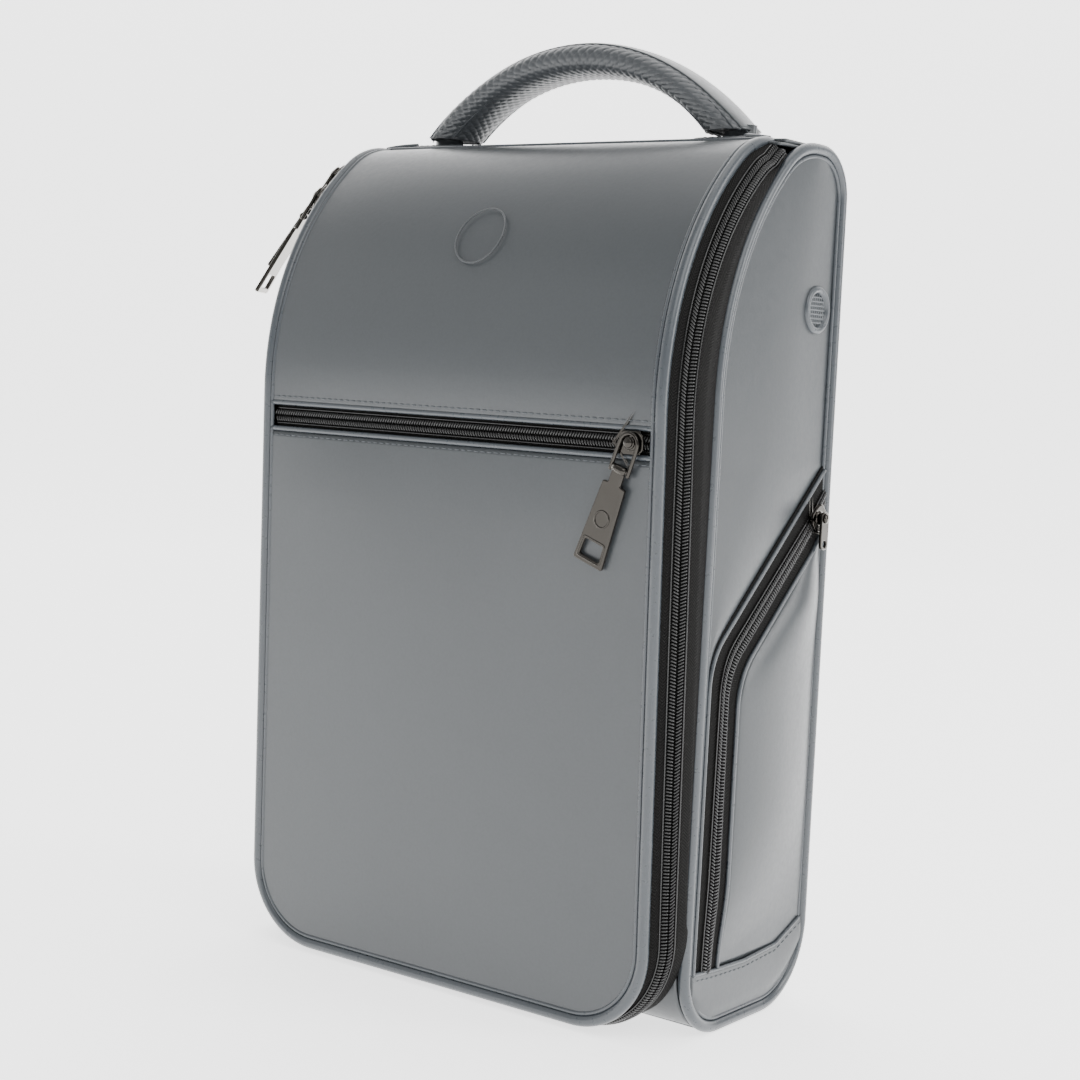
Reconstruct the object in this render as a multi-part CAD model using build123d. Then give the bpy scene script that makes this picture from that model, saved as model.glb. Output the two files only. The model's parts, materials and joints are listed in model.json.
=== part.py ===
from build123d import *
import os
from math import asin, atan, cos, degrees, radians, sin, sqrt, tan

# Golf shoe bag: an upright soft bag with a curved lid that is the whole front and top,
# zipped to the body down both sides and round the foot. +Z is up, the front faces -Y, and
# the origin is the middle of the flat base. All sizes are in millimetres.

# Driving dimensions
body_height = 368.0
body_width = 234.0  # over the body piping
body_depth = 103.0  # back face to the front seam of the side gussets
lid_inset = 9.0  # from the outside of the body piping to the outside of the lid's
lid_slope = 9.7  # how far the lid's face slopes back from its shoulder to its foot
hinge_setback = 50.0  # hinge seam, measured forward from the back face
crown_setback = 26.4  # where the gusset outline leaves the flat top
shoulder_radius = 133.0
crown_radius = 40.0
front_foot_radius = 28.0
rear_foot_radius = 35.0
rear_top_radius = 22.0
lid_corner_radius = 36.0
lid_foot = 2.0  # the lid's lower edge above the floor

# Materials and small parts
piping_radius = 2.5
leather = 1.8
panel = 3.0  # leather with its foam backing
board = 1.5
lining = 0.7
tape = 0.7
gap = 0.3  # between pieces that are not sewn face to face
seam_gap = 0.2
coil = 2.8  # section of one half of the main zip's coil
coil_start = 31.0  # degrees from the top of the crown arc to the end of the main zip
pocket_zip_height = 240.0
pocket_zip_slot = 10.4
pocket_coil_width = 3.2
pocket_coil_thick = 2.4
side_coil_thick = 2.2
handle_width = 27.0
handle_span = 182.0
handle_inner_span = 141.0
handle_rise = 45.0
handle_thick = 12.8
handle_setback = 33.0
handle_lift = 5.0  # underside of the handle's feet above the top panel
vent_radius = 10.3
vent_setback = 21.0
vent_height = 298.0
pocket_depth = 9.5  # room between the inner wall and the gusset
pull_length = 41.0
pull_thick = 1.8
bail_width = 10.5
bail_length = 13.5
slider_length = 11.5
slider_plate = 1.4
slider_pitch = 15.02  # between the two main sliders, along their chain
run_clearance = 0.1  # radial, on the sliders' pivots

# Places worked out from them
back_y = body_depth / 2
front_y = -body_depth / 2
coil_depth = 2 * piping_radius + seam_gap  # from the lid's face to the lid half of the coil
lid_rise = lid_slope + coil_depth + 2 * coil  # the lid's face in front of the gusset seam
lid_face_y = front_y - lid_rise
hinge_y = back_y - hinge_setback
half_width = body_width / 2
half_lid = half_width - lid_inset
gusset_x = half_width - 2 * piping_radius  # inner face of the gussets
inner_x = gusset_x - panel / 2 - pocket_depth + leather  # inner pocket walls
handle_y = back_y - handle_setback
far = 600.0


def shoulder(edge_y, crown_y):
    """Centres of the two arcs from the front line to the flat top, and the turn of the upper one."""
    span = shoulder_radius - crown_radius
    turn = asin((edge_y + shoulder_radius - crown_y) / span)
    crown = (crown_y, body_height - crown_radius)
    lower = (crown_y + span * sin(turn), body_height - crown_radius - span * cos(turn))
    return lower, crown, degrees(turn)


def polar(centre, radius, angle):
    return (centre[0] + radius * cos(radians(angle)), centre[1] + radius * sin(radians(angle)))


def body_edges(inset):
    """The gusset outline in (y, z), moved in by inset."""
    lower, crown, turn = shoulder(front_y, back_y - crown_setback)
    front = front_y + inset
    back = back_y - inset
    top = body_height - inset
    toe = front_foot_radius - inset
    heel = rear_foot_radius - inset
    nape = rear_top_radius - inset
    return [
        Line((front + toe, inset), (back - heel, inset)),
        CenterArc((back - heel, inset + heel), heel, -90, 90),
        Line((back, inset + heel), (back, top - nape)),
        CenterArc((back - nape, top - nape), nape, 0, 90),
        Line((back - nape, top), (crown[0], top)),
        CenterArc(crown, crown_radius - inset, 90, turn),
        CenterArc(lower, shoulder_radius - inset, 90 + turn, 90 - turn),
        Line((front, lower[1]), (front, inset + toe)),
        CenterArc((front + toe, inset + toe), toe, 180, 90),
    ]


lid_lower, lid_crown, lid_turn = shoulder(lid_face_y, hinge_y)
lid_lean = degrees(atan(lid_slope / (lid_lower[1] - lid_foot)))  # off vertical


def lid_edges(inset, foot_z):
    """The lid's profile in (y, z) from the hinge seam to foot_z, moved in by inset."""
    start = polar(lid_lower, shoulder_radius - inset, 180 + lid_lean)
    drop = start[1] - foot_z
    foot = (start[0] + drop * tan(radians(lid_lean)), foot_z)
    top = body_height - inset
    return [
        Line((hinge_y, top), (lid_crown[0] - 0.001, top)),
        CenterArc(lid_crown, crown_radius - inset, 90, lid_turn),
        CenterArc(lid_lower, shoulder_radius - inset, 90 + lid_turn, 90 + lid_lean - lid_turn),
        Line(start, foot),
    ]


def lid_face_at(z, inset):
    """How far forward the lid's face is at a height on its sloping part."""
    start = polar(lid_lower, shoulder_radius - inset, 180 + lid_lean)
    return start[0] + (start[1] - z) * tan(radians(lid_lean))


def prism_x(edges, x0, x1):
    """A closed (y, z) outline drawn out along X."""
    face = make_face(Curve() + edges)
    return extrude(Plane.YZ.offset(x0) * face, amount=x1 - x0)


def body_prism(inset, x0, x1):
    return prism_x(body_edges(inset), x0, x1)


def lid_prism(inset):
    """Everything behind the lid's face at a depth, out to far on both sides."""
    edges = lid_edges(inset, -far)[1:]
    foot = edges[-1] @ 1
    top = (lid_crown[0], body_height - inset)
    edges += [
        Line((foot.X, foot.Y), (far, foot.Y)),
        Line((far, foot.Y), (far, top[1])),
        Line((far, top[1]), top),
    ]
    return prism_x(edges, -far, far)


def block(x, y, z):
    """A box between pairs of limits."""
    return Pos((x[0] + x[1]) / 2, (y[0] + y[1]) / 2, (z[0] + z[1]) / 2) * Box(
        x[1] - x[0], y[1] - y[0], z[1] - z[0]
    )


def front_prism(grow, foot_z):
    """The lid's round-cornered outline seen from the front, grown sideways, with its foot at foot_z."""
    wide = half_lid + grow
    corner = lid_corner_radius + grow
    outline = FilletPolyline(
        (-wide, far), (-wide, foot_z), (wide, foot_z), (wide, far), radius=[corner, corner]
    )
    face = make_face(Curve() + [outline, Line((wide, far), (-wide, far))])
    return extrude(Plane.XZ.offset(-far) * face, amount=2 * far)


def lid_layer(depth, thick, margin, low=-far, high=far):
    """A sheet of the lid between two depths, kept inside its outline by margin."""
    sheet = lid_prism(depth) - lid_prism(depth + thick)
    sheet = sheet & front_prism(-margin, lid_foot + margin)
    return sheet & block((-far, far), (-far, hinge_y - gap), (low, high))


def zip_ring(side_in, side_out, foot_in, foot_out, depth, thick):
    """A band round the mouth: its inner and outer sides and foot, at a depth behind the lid's face."""
    ring = front_prism(side_out, foot_out) - front_prism(side_in, foot_in)
    ring = ring & (lid_prism(depth) - lid_prism(depth + thick))
    wedge = polar(lid_crown, far, 90 + coil_start)
    keep = [
        Line(lid_crown, wedge),
        Line(wedge, (-far, -far)),
        Line((-far, -far), (lid_crown[0], -far)),
        Line((lid_crown[0], -far), lid_crown),
    ]
    return ring & prism_x(keep, -far, far)


def sided(solid, side):
    """The right-hand piece, or its mirror image on the left."""
    return solid if side > 0 else mirror(solid, about=Plane.YZ)


# Body panels
def body_layer(depth, thick, reach):
    return body_prism(depth, -reach, reach) - body_prism(depth + thick, -reach, reach)


def make_top_panel():
    flat = block((-gusset_x + gap, gusset_x - gap), (hinge_y + gap, back_y - rear_top_radius),
                 (body_height - panel, body_height))
    bend = body_layer(0, panel, gusset_x - gap)
    bend = bend & block((-far, far), (back_y - rear_top_radius, far), (body_height - rear_top_radius, far))
    return flat + bend


def make_back_panel():
    sheet = body_layer(0, panel, gusset_x - gap)
    low = rear_foot_radius + seam_gap
    high = body_height - rear_top_radius - seam_gap
    return sheet & block((-far, far), (0, far), (low, high))


def make_base_sheet(depth, thick, reach):
    sheet = body_layer(depth, thick, reach)
    return sheet & block((-far, far), (front_y + front_foot_radius, far), (-far, rear_foot_radius))


def make_front_sill():
    """The turned-up front edge of the base, with the two leather corners outside the zip."""
    mouth = front_prism(8.0, 10.0)
    sheet = body_layer(0, leather, gusset_x - gap)
    reach = (-far, front_y + front_foot_radius - seam_gap)
    return sheet & block((-far, far), reach, (-far, 70.0)) - mouth


def make_body_piping(side):
    outline = Curve() + body_edges(piping_radius)
    path = (Plane.YZ.offset(half_width - piping_radius) * outline).wire()
    ring = Plane(origin=path @ 0, z_dir=path % 0) * Circle(piping_radius)
    return sided(sweep(ring, path=path), side)


# Side pockets: outlines in (y, z) on the right-hand gusset
pocket_rise = 41.5  # degrees that the zip climbs towards the back
pocket_strip = 20.0  # width of the zip's opening in the leather
pocket_front = front_y + 11.0
pocket_bend = 155.0
pocket_foot = 27.0
pocket_rear = back_y - 2 * piping_radius - 1.0
pocket_leather = panel - 0.4
pocket_stand = tape + 0.2 + side_coil_thick + slider_plate + 0.1  # its face off the gusset's
strip_end = pocket_rear - 4.0


def pocket_line(shift):
    """The zip's path, moved towards the pocket by shift: up the front, then slanting to the rear."""
    slope = tan(radians(pocket_rise))
    turn = shift * tan(radians(90 - pocket_rise) / 2)
    y = pocket_front + shift
    bend = (y, pocket_bend - turn)
    return [(y, pocket_foot), bend, (strip_end, bend[1] + (strip_end - y) * slope)]


def strip(shift, width, x0, thick):
    """A band of the side zip between two shifts."""
    first = pocket_line(shift)
    second = pocket_line(shift + width)
    points = first + second[::-1]
    face = make_face(Polyline(*points, close=True))
    return extrude(Plane.YZ.offset(x0) * face, amount=thick)


def below_zip(shift, x0, thick):
    """The gusset area behind and below the zip, down to the foot band."""
    line = pocket_line(shift)
    points = line + [(pocket_rear, line[-1][1]), (pocket_rear, pocket_foot)]
    face = make_face(Polyline(*points, close=True))
    return extrude(Plane.YZ.offset(x0) * face, amount=thick)


def foot_area(grow):
    points = [(-far, -far), (-far, pocket_foot - 1 + grow), (back_y - 30, pocket_foot - 2 + grow),
              (back_y, pocket_foot + 8 + grow), (far, pocket_foot + 8 + grow), (far, -far)]
    face = make_face(Polyline(*points, close=True))
    return extrude(Plane.YZ * face, amount=far)


def vent_hole(radius):
    return Pos(0, back_y - vent_setback, vent_height) * Rot(0, 90, 0) * Cylinder(radius, far)


def make_side_panel(side):
    skin = body_prism(2 * piping_radius + seam_gap, gusset_x, gusset_x + panel)
    skin -= foot_area(seam_gap)
    skin -= below_zip(0, gusset_x - 1, panel + 2)
    skin -= vent_hole(vent_radius - 4.8)
    return sided(skin, side)


def make_side_pocket(side):
    inner = gusset_x + panel + pocket_stand - pocket_leather
    sheet = below_zip(pocket_strip, inner, pocket_leather)
    sheet -= foot_area(gap)
    sheet -= block((0, far), (pocket_rear - 4, far), (0, 42.0))
    return sided(sheet, side)


def make_foot_band(side):
    skin = body_prism(2 * piping_radius + seam_gap, gusset_x, gusset_x + panel) & foot_area(0)
    return sided(skin, side)


def make_side_wall(side):
    wall = body_prism(panel + 4.0, inner_x, inner_x + board)
    return sided(wall - vent_hole(vent_radius - 4.8), side)


def make_side_tape(side):
    half = pocket_strip / 2 - seam_gap / 2
    x0 = gusset_x + panel + 0.1
    tapes = strip(0, half, x0, tape) + strip(pocket_strip - half, half, x0, tape)
    return sided(tapes - foot_area(gap), side)


def make_side_coil(side):
    middle = pocket_strip / 2
    x0 = gusset_x + panel + tape + 0.2
    halves = strip(middle - 3.3, 3.1, x0, side_coil_thick) + strip(middle + 0.2, 3.1, x0, side_coil_thick)
    return sided(halves - foot_area(gap + 1.0), side)


def make_vent_ring(side):
    ring = Cylinder(vent_radius, 2.0) - Cylinder(vent_radius - 3.3, 4.0)
    ring = chamfer(ring.edges().filter_by(GeomType.CIRCLE).sort_by(Axis.Z)[-1], 0.8)
    place = Pos(gusset_x + panel + 1.1, back_y - vent_setback, vent_height) * Rot(0, 90, 0)
    return sided(place * ring, side)


def make_vent_disc(side):
    disc = Cylinder(vent_radius - 3.5, 1.0)
    pitch = 2.4
    for row in range(-2, 3):
        for column in range(-2, 3):
            x = (column + (row % 2) / 2) * pitch
            y = row * pitch * sqrt(3) / 2
            if sqrt(x * x + y * y) < vent_radius - 5.0:
                disc -= Pos(x, y, 0) * Cylinder(0.7, 2.0)
    place = Pos(gusset_x + panel + 0.6, back_y - vent_setback, vent_height) * Rot(0, 90, 0)
    return sided(place * disc, side)


# Handle
def arch(span, rise, foot_z):
    """The area under a round arch that stands on foot_z."""
    radius = (span * span / 4 + rise * rise) / (2 * rise)
    disc = Pos(0, foot_z + rise - radius) * Circle(radius)
    return disc & Pos(0, foot_z + rise) * Rectangle(far, 2 * rise)


def handle_slab(outer_inset, inner_inset, width):
    outer = arch(handle_span - 2.4 * outer_inset, handle_rise - outer_inset, body_height)
    inner_rise = handle_rise - handle_thick + inner_inset
    inner = arch(handle_inner_span + 2.4 * inner_inset, inner_rise, body_height)
    feet = Pos(0, body_height + handle_lift + far / 2) * Rectangle(far, far)
    face = (outer - inner) & feet
    return extrude(Plane.XZ.offset(-handle_y - width / 2) * face, amount=width)


def make_handle_cover():
    return handle_slab(0, handle_thick - leather, handle_width) - handle_slab(leather, -9.0, far / 4)


def make_handle_grip():
    channel = handle_slab(leather + gap, 0, handle_width)
    return channel - handle_slab(leather, leather, handle_width - 2 * leather)


def make_handle_core():
    return handle_slab(leather + 2 * gap, leather + gap, handle_width - 2 * leather - 2 * gap)


def make_handle_tabs():
    """The sewn leather feet that the handle bends at."""
    middle = (handle_span + handle_inner_span) / 4
    tab = Pos(middle, handle_y, body_height + 0.8) * Box(38.0, 30.0, 1.6)
    tab = fillet(tab.edges().filter_by(Axis.Z), 6.0)
    return tab + mirror(tab, about=Plane.YZ)


def make_hinge_welt():
    """The corded seam across the top that the lid turns on."""
    reach = half_lid - 8.0
    return Pos(0, hinge_y, body_height - panel - 2.2) * Rot(0, 90, 0) * Cylinder(1.2, 2 * reach)


# Lid
lid_panel_depth = 1.0
lid_panel_thick = 2.6
lid_margin = 2 * piping_radius + seam_gap
pocket_back_depth = 7.0
board_depth = pocket_back_depth + lining + gap
lining_depth = board_depth + board + gap


def make_lid_piping():
    x = half_lid - piping_radius
    profile = Curve() + lid_edges(piping_radius, lid_foot + lid_corner_radius)[1:]
    side = (Plane.YZ.offset(x) * profile).edges()
    corner = lid_corner_radius - piping_radius
    lean = Vector(0, sin(radians(lid_lean)), -cos(radians(lid_lean)))
    top = Vector(x, lid_face_at(lid_foot + lid_corner_radius, piping_radius), lid_foot + lid_corner_radius)
    bottom = top + lean * corner + Vector(-corner, 0, 0)
    bend = TangentArc(top, bottom, tangent=lean)
    foot = Line(bottom, Vector(0, bottom.Y, bottom.Z))
    path = Wire(list(side) + [bend.edge(), foot.edge()])
    start = Vector(x, lid_crown[0], body_height - piping_radius)
    ring = Plane(origin=start, z_dir=(0, -1, 0)) * Circle(piping_radius)
    half = sweep(ring, path=path)
    return half + mirror(half, about=Plane.YZ)


def pocket_bar(low, high, depth, thick, margin):
    return lid_layer(depth, thick, margin, pocket_zip_height + low, pocket_zip_height + high)


# Sliders, drawn on a chain that runs along X with its face up: X points to the closed side,
# Z is outward, and the pull hangs towards +X before it is turned.
def make_slider_body(half_chain, half_thick, left_low, right_low):
    """A plate over the chain with a flange down each side, and a capped post for the pull."""
    width = 2 * (half_chain + 1.35)
    plate = Pos(0, 0, half_thick + 0.3 + slider_plate / 2) * Box(slider_length, width, slider_plate)
    plate = fillet(plate.edges().filter_by(Axis.Z), 3.4)
    left = block((-3.8, 3.8), (width / 2 - 1.1, width / 2), (left_low, half_thick + 0.4))
    right = block((-3.8, 3.8), (-width / 2, -width / 2 + 1.1), (right_low, half_thick + 0.4))
    post = Pos(0, 0, half_thick + 0.3 + slider_plate + 0.9) * Cylinder(1.1, 1.9)
    cap = Pos(0, 0, half_thick + 0.3 + slider_plate + 2.25) * Cylinder(2.1, 0.9)
    return plate + left + right + post + cap


def bail_level(half_thick):
    """Height of the middle of the bail and the pull above the chain's centre."""
    return half_thick + 0.3 + slider_plate + 0.95


def make_bail(half_thick, length):
    """A flat link on the slider's post, with a fork and a cross bar for the pull."""
    end = length - 2.0
    link = Pos((end - 3.4 + 1.6) / 2, 0) * RectangleRounded(end + 5.0, bail_width, 2.4)
    body = extrude(link, amount=1.2)
    body -= Pos(0, 0, 0.6) * Cylinder(1.1 + run_clearance, 4.0)
    body -= block((length - 7.0, far), (-3.6, 3.6), (-2, 4))
    bar = Pos(end, 0, 0.6) * Rot(90, 0, 0) * Cylinder(0.75, 7.6)
    return Pos(0, 0, bail_level(half_thick) - 0.6) * (body + bar)


def make_tab(half_thick, length):
    """The side pockets' short puller, a round-ended link straight on the slider's post."""
    link = Pos(length / 2 - 1.5, 0) * RectangleRounded(length + 3.0, 6.4, 2.9)
    body = extrude(link, amount=1.2) - Pos(0, 0, 0.6) * Cylinder(1.1 + run_clearance, 4.0)
    body -= Pos(length - 4.0, 0, 0.6) * Cylinder(1.5, 4.0)
    return Pos(0, 0, bail_level(half_thick) - 0.6) * body


def make_pull(half_thick, start, length, neck, shoulder_width, tip_width):
    """A tapered plate with a knuckle on the bail's bar and a window near its tip."""
    knuckle = Pos(start, 0, 0) * Rot(90, 0, 0) * Cylinder(1.75, neck)
    outline = [
        (start, -neck / 2), (start + 6.0, -neck / 2), (start + 6.0, -shoulder_width / 2),
        (start + length, -tip_width / 2), (start + length, tip_width / 2),
        (start + 6.0, shoulder_width / 2), (start + 6.0, neck / 2), (start, neck / 2),
    ]
    plate = extrude(make_face(Polyline(*outline, close=True)), amount=pull_thick)
    plate = Pos(0, 0, -pull_thick / 2) * plate
    window = Pos(start + length - 6.0, 0, 0) * Box(6.0, tip_width - 5.0, 9.0)
    bore = Pos(start, 0, 0) * Rot(90, 0, 0) * Cylinder(0.75 + run_clearance, 3 * neck)
    return Pos(0, 0, bail_level(half_thick)) * ((knuckle + plate) - window - bore)


def frame_at(origin, along, outward, turn):
    """Where a slider sits, and the same place with the pull turned in the chain's plane."""
    seat = Plane(origin=origin, x_dir=along, z_dir=outward)
    turned = Vector(along).rotate(Axis((0, 0, 0), outward), turn)
    return seat, Plane(origin=origin, x_dir=turned, z_dir=outward)


main_half = sqrt(2) * (coil + gap / 2) + 0.03  # across the two coils, corner to corner
main_thick = coil / sqrt(2) + 0.02
main_chain_depth = coil_depth + coil + gap / 2


def main_slider_frame(angle, turn):
    """A seat on the left-hand chain where the profile's normal is angle from vertical."""
    y, z = polar(lid_lower, shoulder_radius - main_chain_depth, 90 + angle)
    normal = Vector(0, -sin(radians(angle)), cos(radians(angle)))
    outward = (normal + Vector(-1, 0, 0)).normalized()
    along = Vector(0, -cos(radians(angle)), -sin(radians(angle)))
    x = -(half_lid + 0.8 + coil + gap / 2)
    return frame_at(Vector(x, y, z), along, outward, turn)


upper_angle = lid_turn + 1.5
lower_angle = upper_angle + degrees(slider_pitch / (shoulder_radius - main_chain_depth))
pocket_slider_x = 93.5
pocket_chain_depth = 1.2 + pocket_coil_thick / 2


def pocket_slider_frame(turn):
    y = lid_face_at(pocket_zip_height, pocket_chain_depth)
    outward = Vector(0, -cos(radians(lid_lean)), -sin(radians(lid_lean)))
    return frame_at(Vector(pocket_slider_x, y, pocket_zip_height), Vector(-1, 0, 0), outward, turn)


def side_slider_frame(turn):
    line = pocket_line(pocket_strip / 2 + 0.05)
    along = Vector(0, -cos(radians(pocket_rise)), -sin(radians(pocket_rise)))
    end = Vector(gusset_x + panel + tape + 0.2 + side_coil_thick / 2, line[-1][0], line[-1][1])
    return frame_at(end + along * (slider_length / 2 + 1.0), along, Vector(1, 0, 0), turn)


nodes = {}
nodes["top_panel"] = make_top_panel()
nodes["back_panel"] = make_back_panel()
nodes["bottom_panel"] = make_base_sheet(0, panel, gusset_x - gap)
nodes["front_sill"] = make_front_sill()
nodes["base_board"] = make_base_sheet(panel + gap, board, inner_x - gap)
rear_zone = block((-far, far), (back_y - 12, far), (rear_foot_radius + gap, body_height - rear_top_radius))
nodes["back_board"] = body_layer(panel + gap, board, inner_x - gap) & rear_zone
nodes["rear_lining"] = body_layer(panel + board + 2 * gap, lining, inner_x - gap) & rear_zone
nodes["hinge_welt"] = make_hinge_welt()

for name, side in (("right", 1), ("left", -1)):
    nodes["side_panel_" + name] = make_side_panel(side)
    nodes["side_pocket_" + name] = make_side_pocket(side)
    nodes["foot_band_" + name] = make_foot_band(side)
    nodes["side_wall_" + name] = make_side_wall(side)
    nodes["body_piping_" + name] = make_body_piping(side)
    nodes["side_zip_tape_" + name] = make_side_tape(side)
    nodes["side_zip_coil_" + name] = make_side_coil(side)
    nodes["vent_ring_" + name] = make_vent_ring(side)
    nodes["vent_disc_" + name] = make_vent_disc(side)
    seat, hang = side_slider_frame(90 - pocket_rise)
    low = 0.2 - side_coil_thick / 2
    nodes["side_slider_" + name] = sided(seat * make_slider_body(3.3, side_coil_thick / 2, low, low), side)
    nodes["side_pull_" + name] = sided(hang * make_tab(side_coil_thick / 2, 15.0), side)

nodes["handle_cover"] = make_handle_cover()
nodes["handle_grip"] = make_handle_grip()
nodes["handle_core"] = make_handle_core()
nodes["handle_tabs"] = make_handle_tabs()

slot = pocket_zip_slot / 2
nodes["lid_upper_panel"] = pocket_bar(slot, far, lid_panel_depth, lid_panel_thick, lid_margin)
nodes["lid_lower_panel"] = pocket_bar(-far, -slot, lid_panel_depth, lid_panel_thick, lid_margin)
tape_depth = lid_panel_depth + lid_panel_thick + seam_gap
nodes["pocket_zip_tape"] = pocket_bar(-12.0, -0.15, tape_depth, tape, lid_margin) + pocket_bar(
    0.15, 12.0, tape_depth, tape, lid_margin
)
nodes["pocket_zip_coil"] = pocket_bar(
    -pocket_coil_width - 0.2, -0.2, 1.2, pocket_coil_thick, lid_margin + 2
) + pocket_bar(0.2, pocket_coil_width + 0.2, 1.2, pocket_coil_thick, lid_margin + 2)
nodes["pocket_lining"] = pocket_bar(-far, 14.0, pocket_back_depth, lining, lid_margin)
nodes["lid_board"] = lid_layer(board_depth, board, lid_margin)
nodes["lid_lining"] = lid_layer(lining_depth, lining, lid_margin - 1)
nodes["lid_piping"] = make_lid_piping()

nodes["main_zip_tape_lid"] = zip_ring(0.1, 0.5, 4.6, 4.1, coil_depth, coil - 0.2)
nodes["main_zip_coil_lid"] = zip_ring(0.8, 0.8 + coil, 3.8, 1.0, coil_depth, coil)
body_start = coil_depth + coil + gap
nodes["main_zip_coil_body"] = zip_ring(1.1 + coil, 1.1 + 2 * coil, 3.8, 1.0, body_start, coil)
outer_tape = zip_ring(0.4 + coil, 1.0 + coil, 4.6, 4.1, body_start, lid_rise - body_start - 1.0)
nodes["main_zip_tape_body"] = outer_tape - body_prism(-gap, -far, far)

for name, angle, turn in (("upper", upper_angle, -46.0), ("lower", lower_angle, -36.0)):
    seat, hang = main_slider_frame(angle, turn)
    nodes["main_slider_" + name] = seat * make_slider_body(main_half, main_thick, 0.2, 0.6)
    nodes["main_bail_" + name] = hang * make_bail(main_thick, bail_length)
    nodes["main_pull_" + name] = hang * make_pull(main_thick, bail_length - 2, pull_length, 6.4, 11.0, 15.0)

seat, hang = pocket_slider_frame(70.0)
half_thick = pocket_coil_thick / 2
low = 0.2 - half_thick
nodes["pocket_slider"] = seat * make_slider_body(pocket_coil_width + 0.2, half_thick, low, low)
nodes["pocket_bail"] = hang * make_bail(half_thick, bail_length)
nodes["pocket_pull"] = hang * make_pull(half_thick, bail_length - 2, pull_length, 6.4, 11.0, 15.0)

os.makedirs("parts", exist_ok=True)
for name, solid in nodes.items():
    export_step(solid, "parts/" + name + ".step")
print(len(nodes), "nodes")
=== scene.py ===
import json
from math import acos, asin, cos, degrees, pi, radians, sin, sqrt, tan

import bpy
import numpy as np
from mathutils import Matrix, Vector


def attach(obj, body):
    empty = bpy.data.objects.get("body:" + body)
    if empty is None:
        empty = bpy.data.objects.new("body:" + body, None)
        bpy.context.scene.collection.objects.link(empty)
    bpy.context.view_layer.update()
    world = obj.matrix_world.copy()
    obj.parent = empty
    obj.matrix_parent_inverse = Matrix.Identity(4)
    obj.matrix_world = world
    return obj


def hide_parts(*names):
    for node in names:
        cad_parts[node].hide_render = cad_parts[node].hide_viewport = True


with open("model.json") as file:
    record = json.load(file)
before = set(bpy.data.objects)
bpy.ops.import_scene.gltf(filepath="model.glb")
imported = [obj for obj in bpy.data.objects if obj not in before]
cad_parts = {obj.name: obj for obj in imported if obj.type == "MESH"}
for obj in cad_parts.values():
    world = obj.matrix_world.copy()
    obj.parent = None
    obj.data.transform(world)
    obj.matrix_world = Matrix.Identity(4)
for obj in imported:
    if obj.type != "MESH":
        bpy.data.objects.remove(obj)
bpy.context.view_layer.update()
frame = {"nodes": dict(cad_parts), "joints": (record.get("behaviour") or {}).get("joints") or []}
joints = {j["name"]: j for j in frame["joints"]}
scene = bpy.context.scene
print("frame loaded:", len(frame["nodes"]), "nodes")

# Sizes in millimetres, as the bag was drafted. Profiles are (y, z).
bag = {
    "height": 368.0,
    "back": 51.5,
    "front": -46.5,
    "lidFace": -72.0,
    "hingeY": 1.5,
    "crownY": 25.1,
    "crownRadius": 40.0,
    "shoulderRadius": 133.0,
    "toeRadius": 28.0,
    "heelRadius": 35.0,
    "napeRadius": 22.0,
    "halfLid": 108.0,
    "lidCorner": 36.0,
    "lidLean": 2.183,
    "lidFoot": 2.0,
    "gusset": 112.0,
    "piping": 2.5,
}


# Profiles
def shoulderArcs(edgeY, crownY):
    span = bag["shoulderRadius"] - bag["crownRadius"]
    turn = asin((edgeY + bag["shoulderRadius"] - crownY) / span)
    crown = (crownY, bag["height"] - bag["crownRadius"])
    lower = (crownY + span * sin(turn), crown[1] - span * cos(turn))
    return lower, crown, degrees(turn)


def arcPoints(centre, radius, first, last, count):
    angles = np.radians(np.linspace(first, last, count))
    return np.stack([centre[0] + radius * np.cos(angles), centre[1] + radius * np.sin(angles)], 1)


def joined(*runs):
    points = np.concatenate(runs)
    keep = np.ones(len(points), bool)
    keep[1:] = np.linalg.norm(np.diff(points, axis=0), axis=1) > 1e-4
    return points[keep]


def resampled(points, count):
    lengths = lengthsAlong(points)
    wanted = np.linspace(0, lengths[-1], count)
    return np.stack([np.interp(wanted, lengths, points[:, k]) for k in range(points.shape[1])], 1)


def pathLength(points):
    return float(np.linalg.norm(np.diff(points, axis=0), axis=1).sum())


lidLower, lidCrown, lidTurn = shoulderArcs(bag["lidFace"], bag["hingeY"])
bodyLower, bodyCrown, bodyTurn = shoulderArcs(bag["front"], bag["crownY"])


def lidProfile(inset, startAngle=0.0, footZ=bag["lidFoot"]):
    # from the crown (startAngle degrees past its top) down to footZ
    crownRadius = bag["crownRadius"] - inset
    radius = bag["shoulderRadius"] - inset
    lean = bag["lidLean"]
    edge = (lidLower[0] - radius * cos(radians(lean)), lidLower[1] - radius * sin(radians(lean)))
    foot = (edge[0] + (edge[1] - footZ) * tan(radians(lean)), footZ)
    return joined(
        arcPoints(lidCrown, crownRadius, 90 + startAngle, 90 + lidTurn, 40),
        arcPoints(lidLower, radius, 90 + lidTurn, 180 + lean, 90),
        np.linspace(edge, foot, 80),
    )


def lidY(z, inset):
    path = lidProfile(inset, 0.0, -20.0)[::-1]
    return np.interp(z, path[:, 1], path[:, 0])


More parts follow.
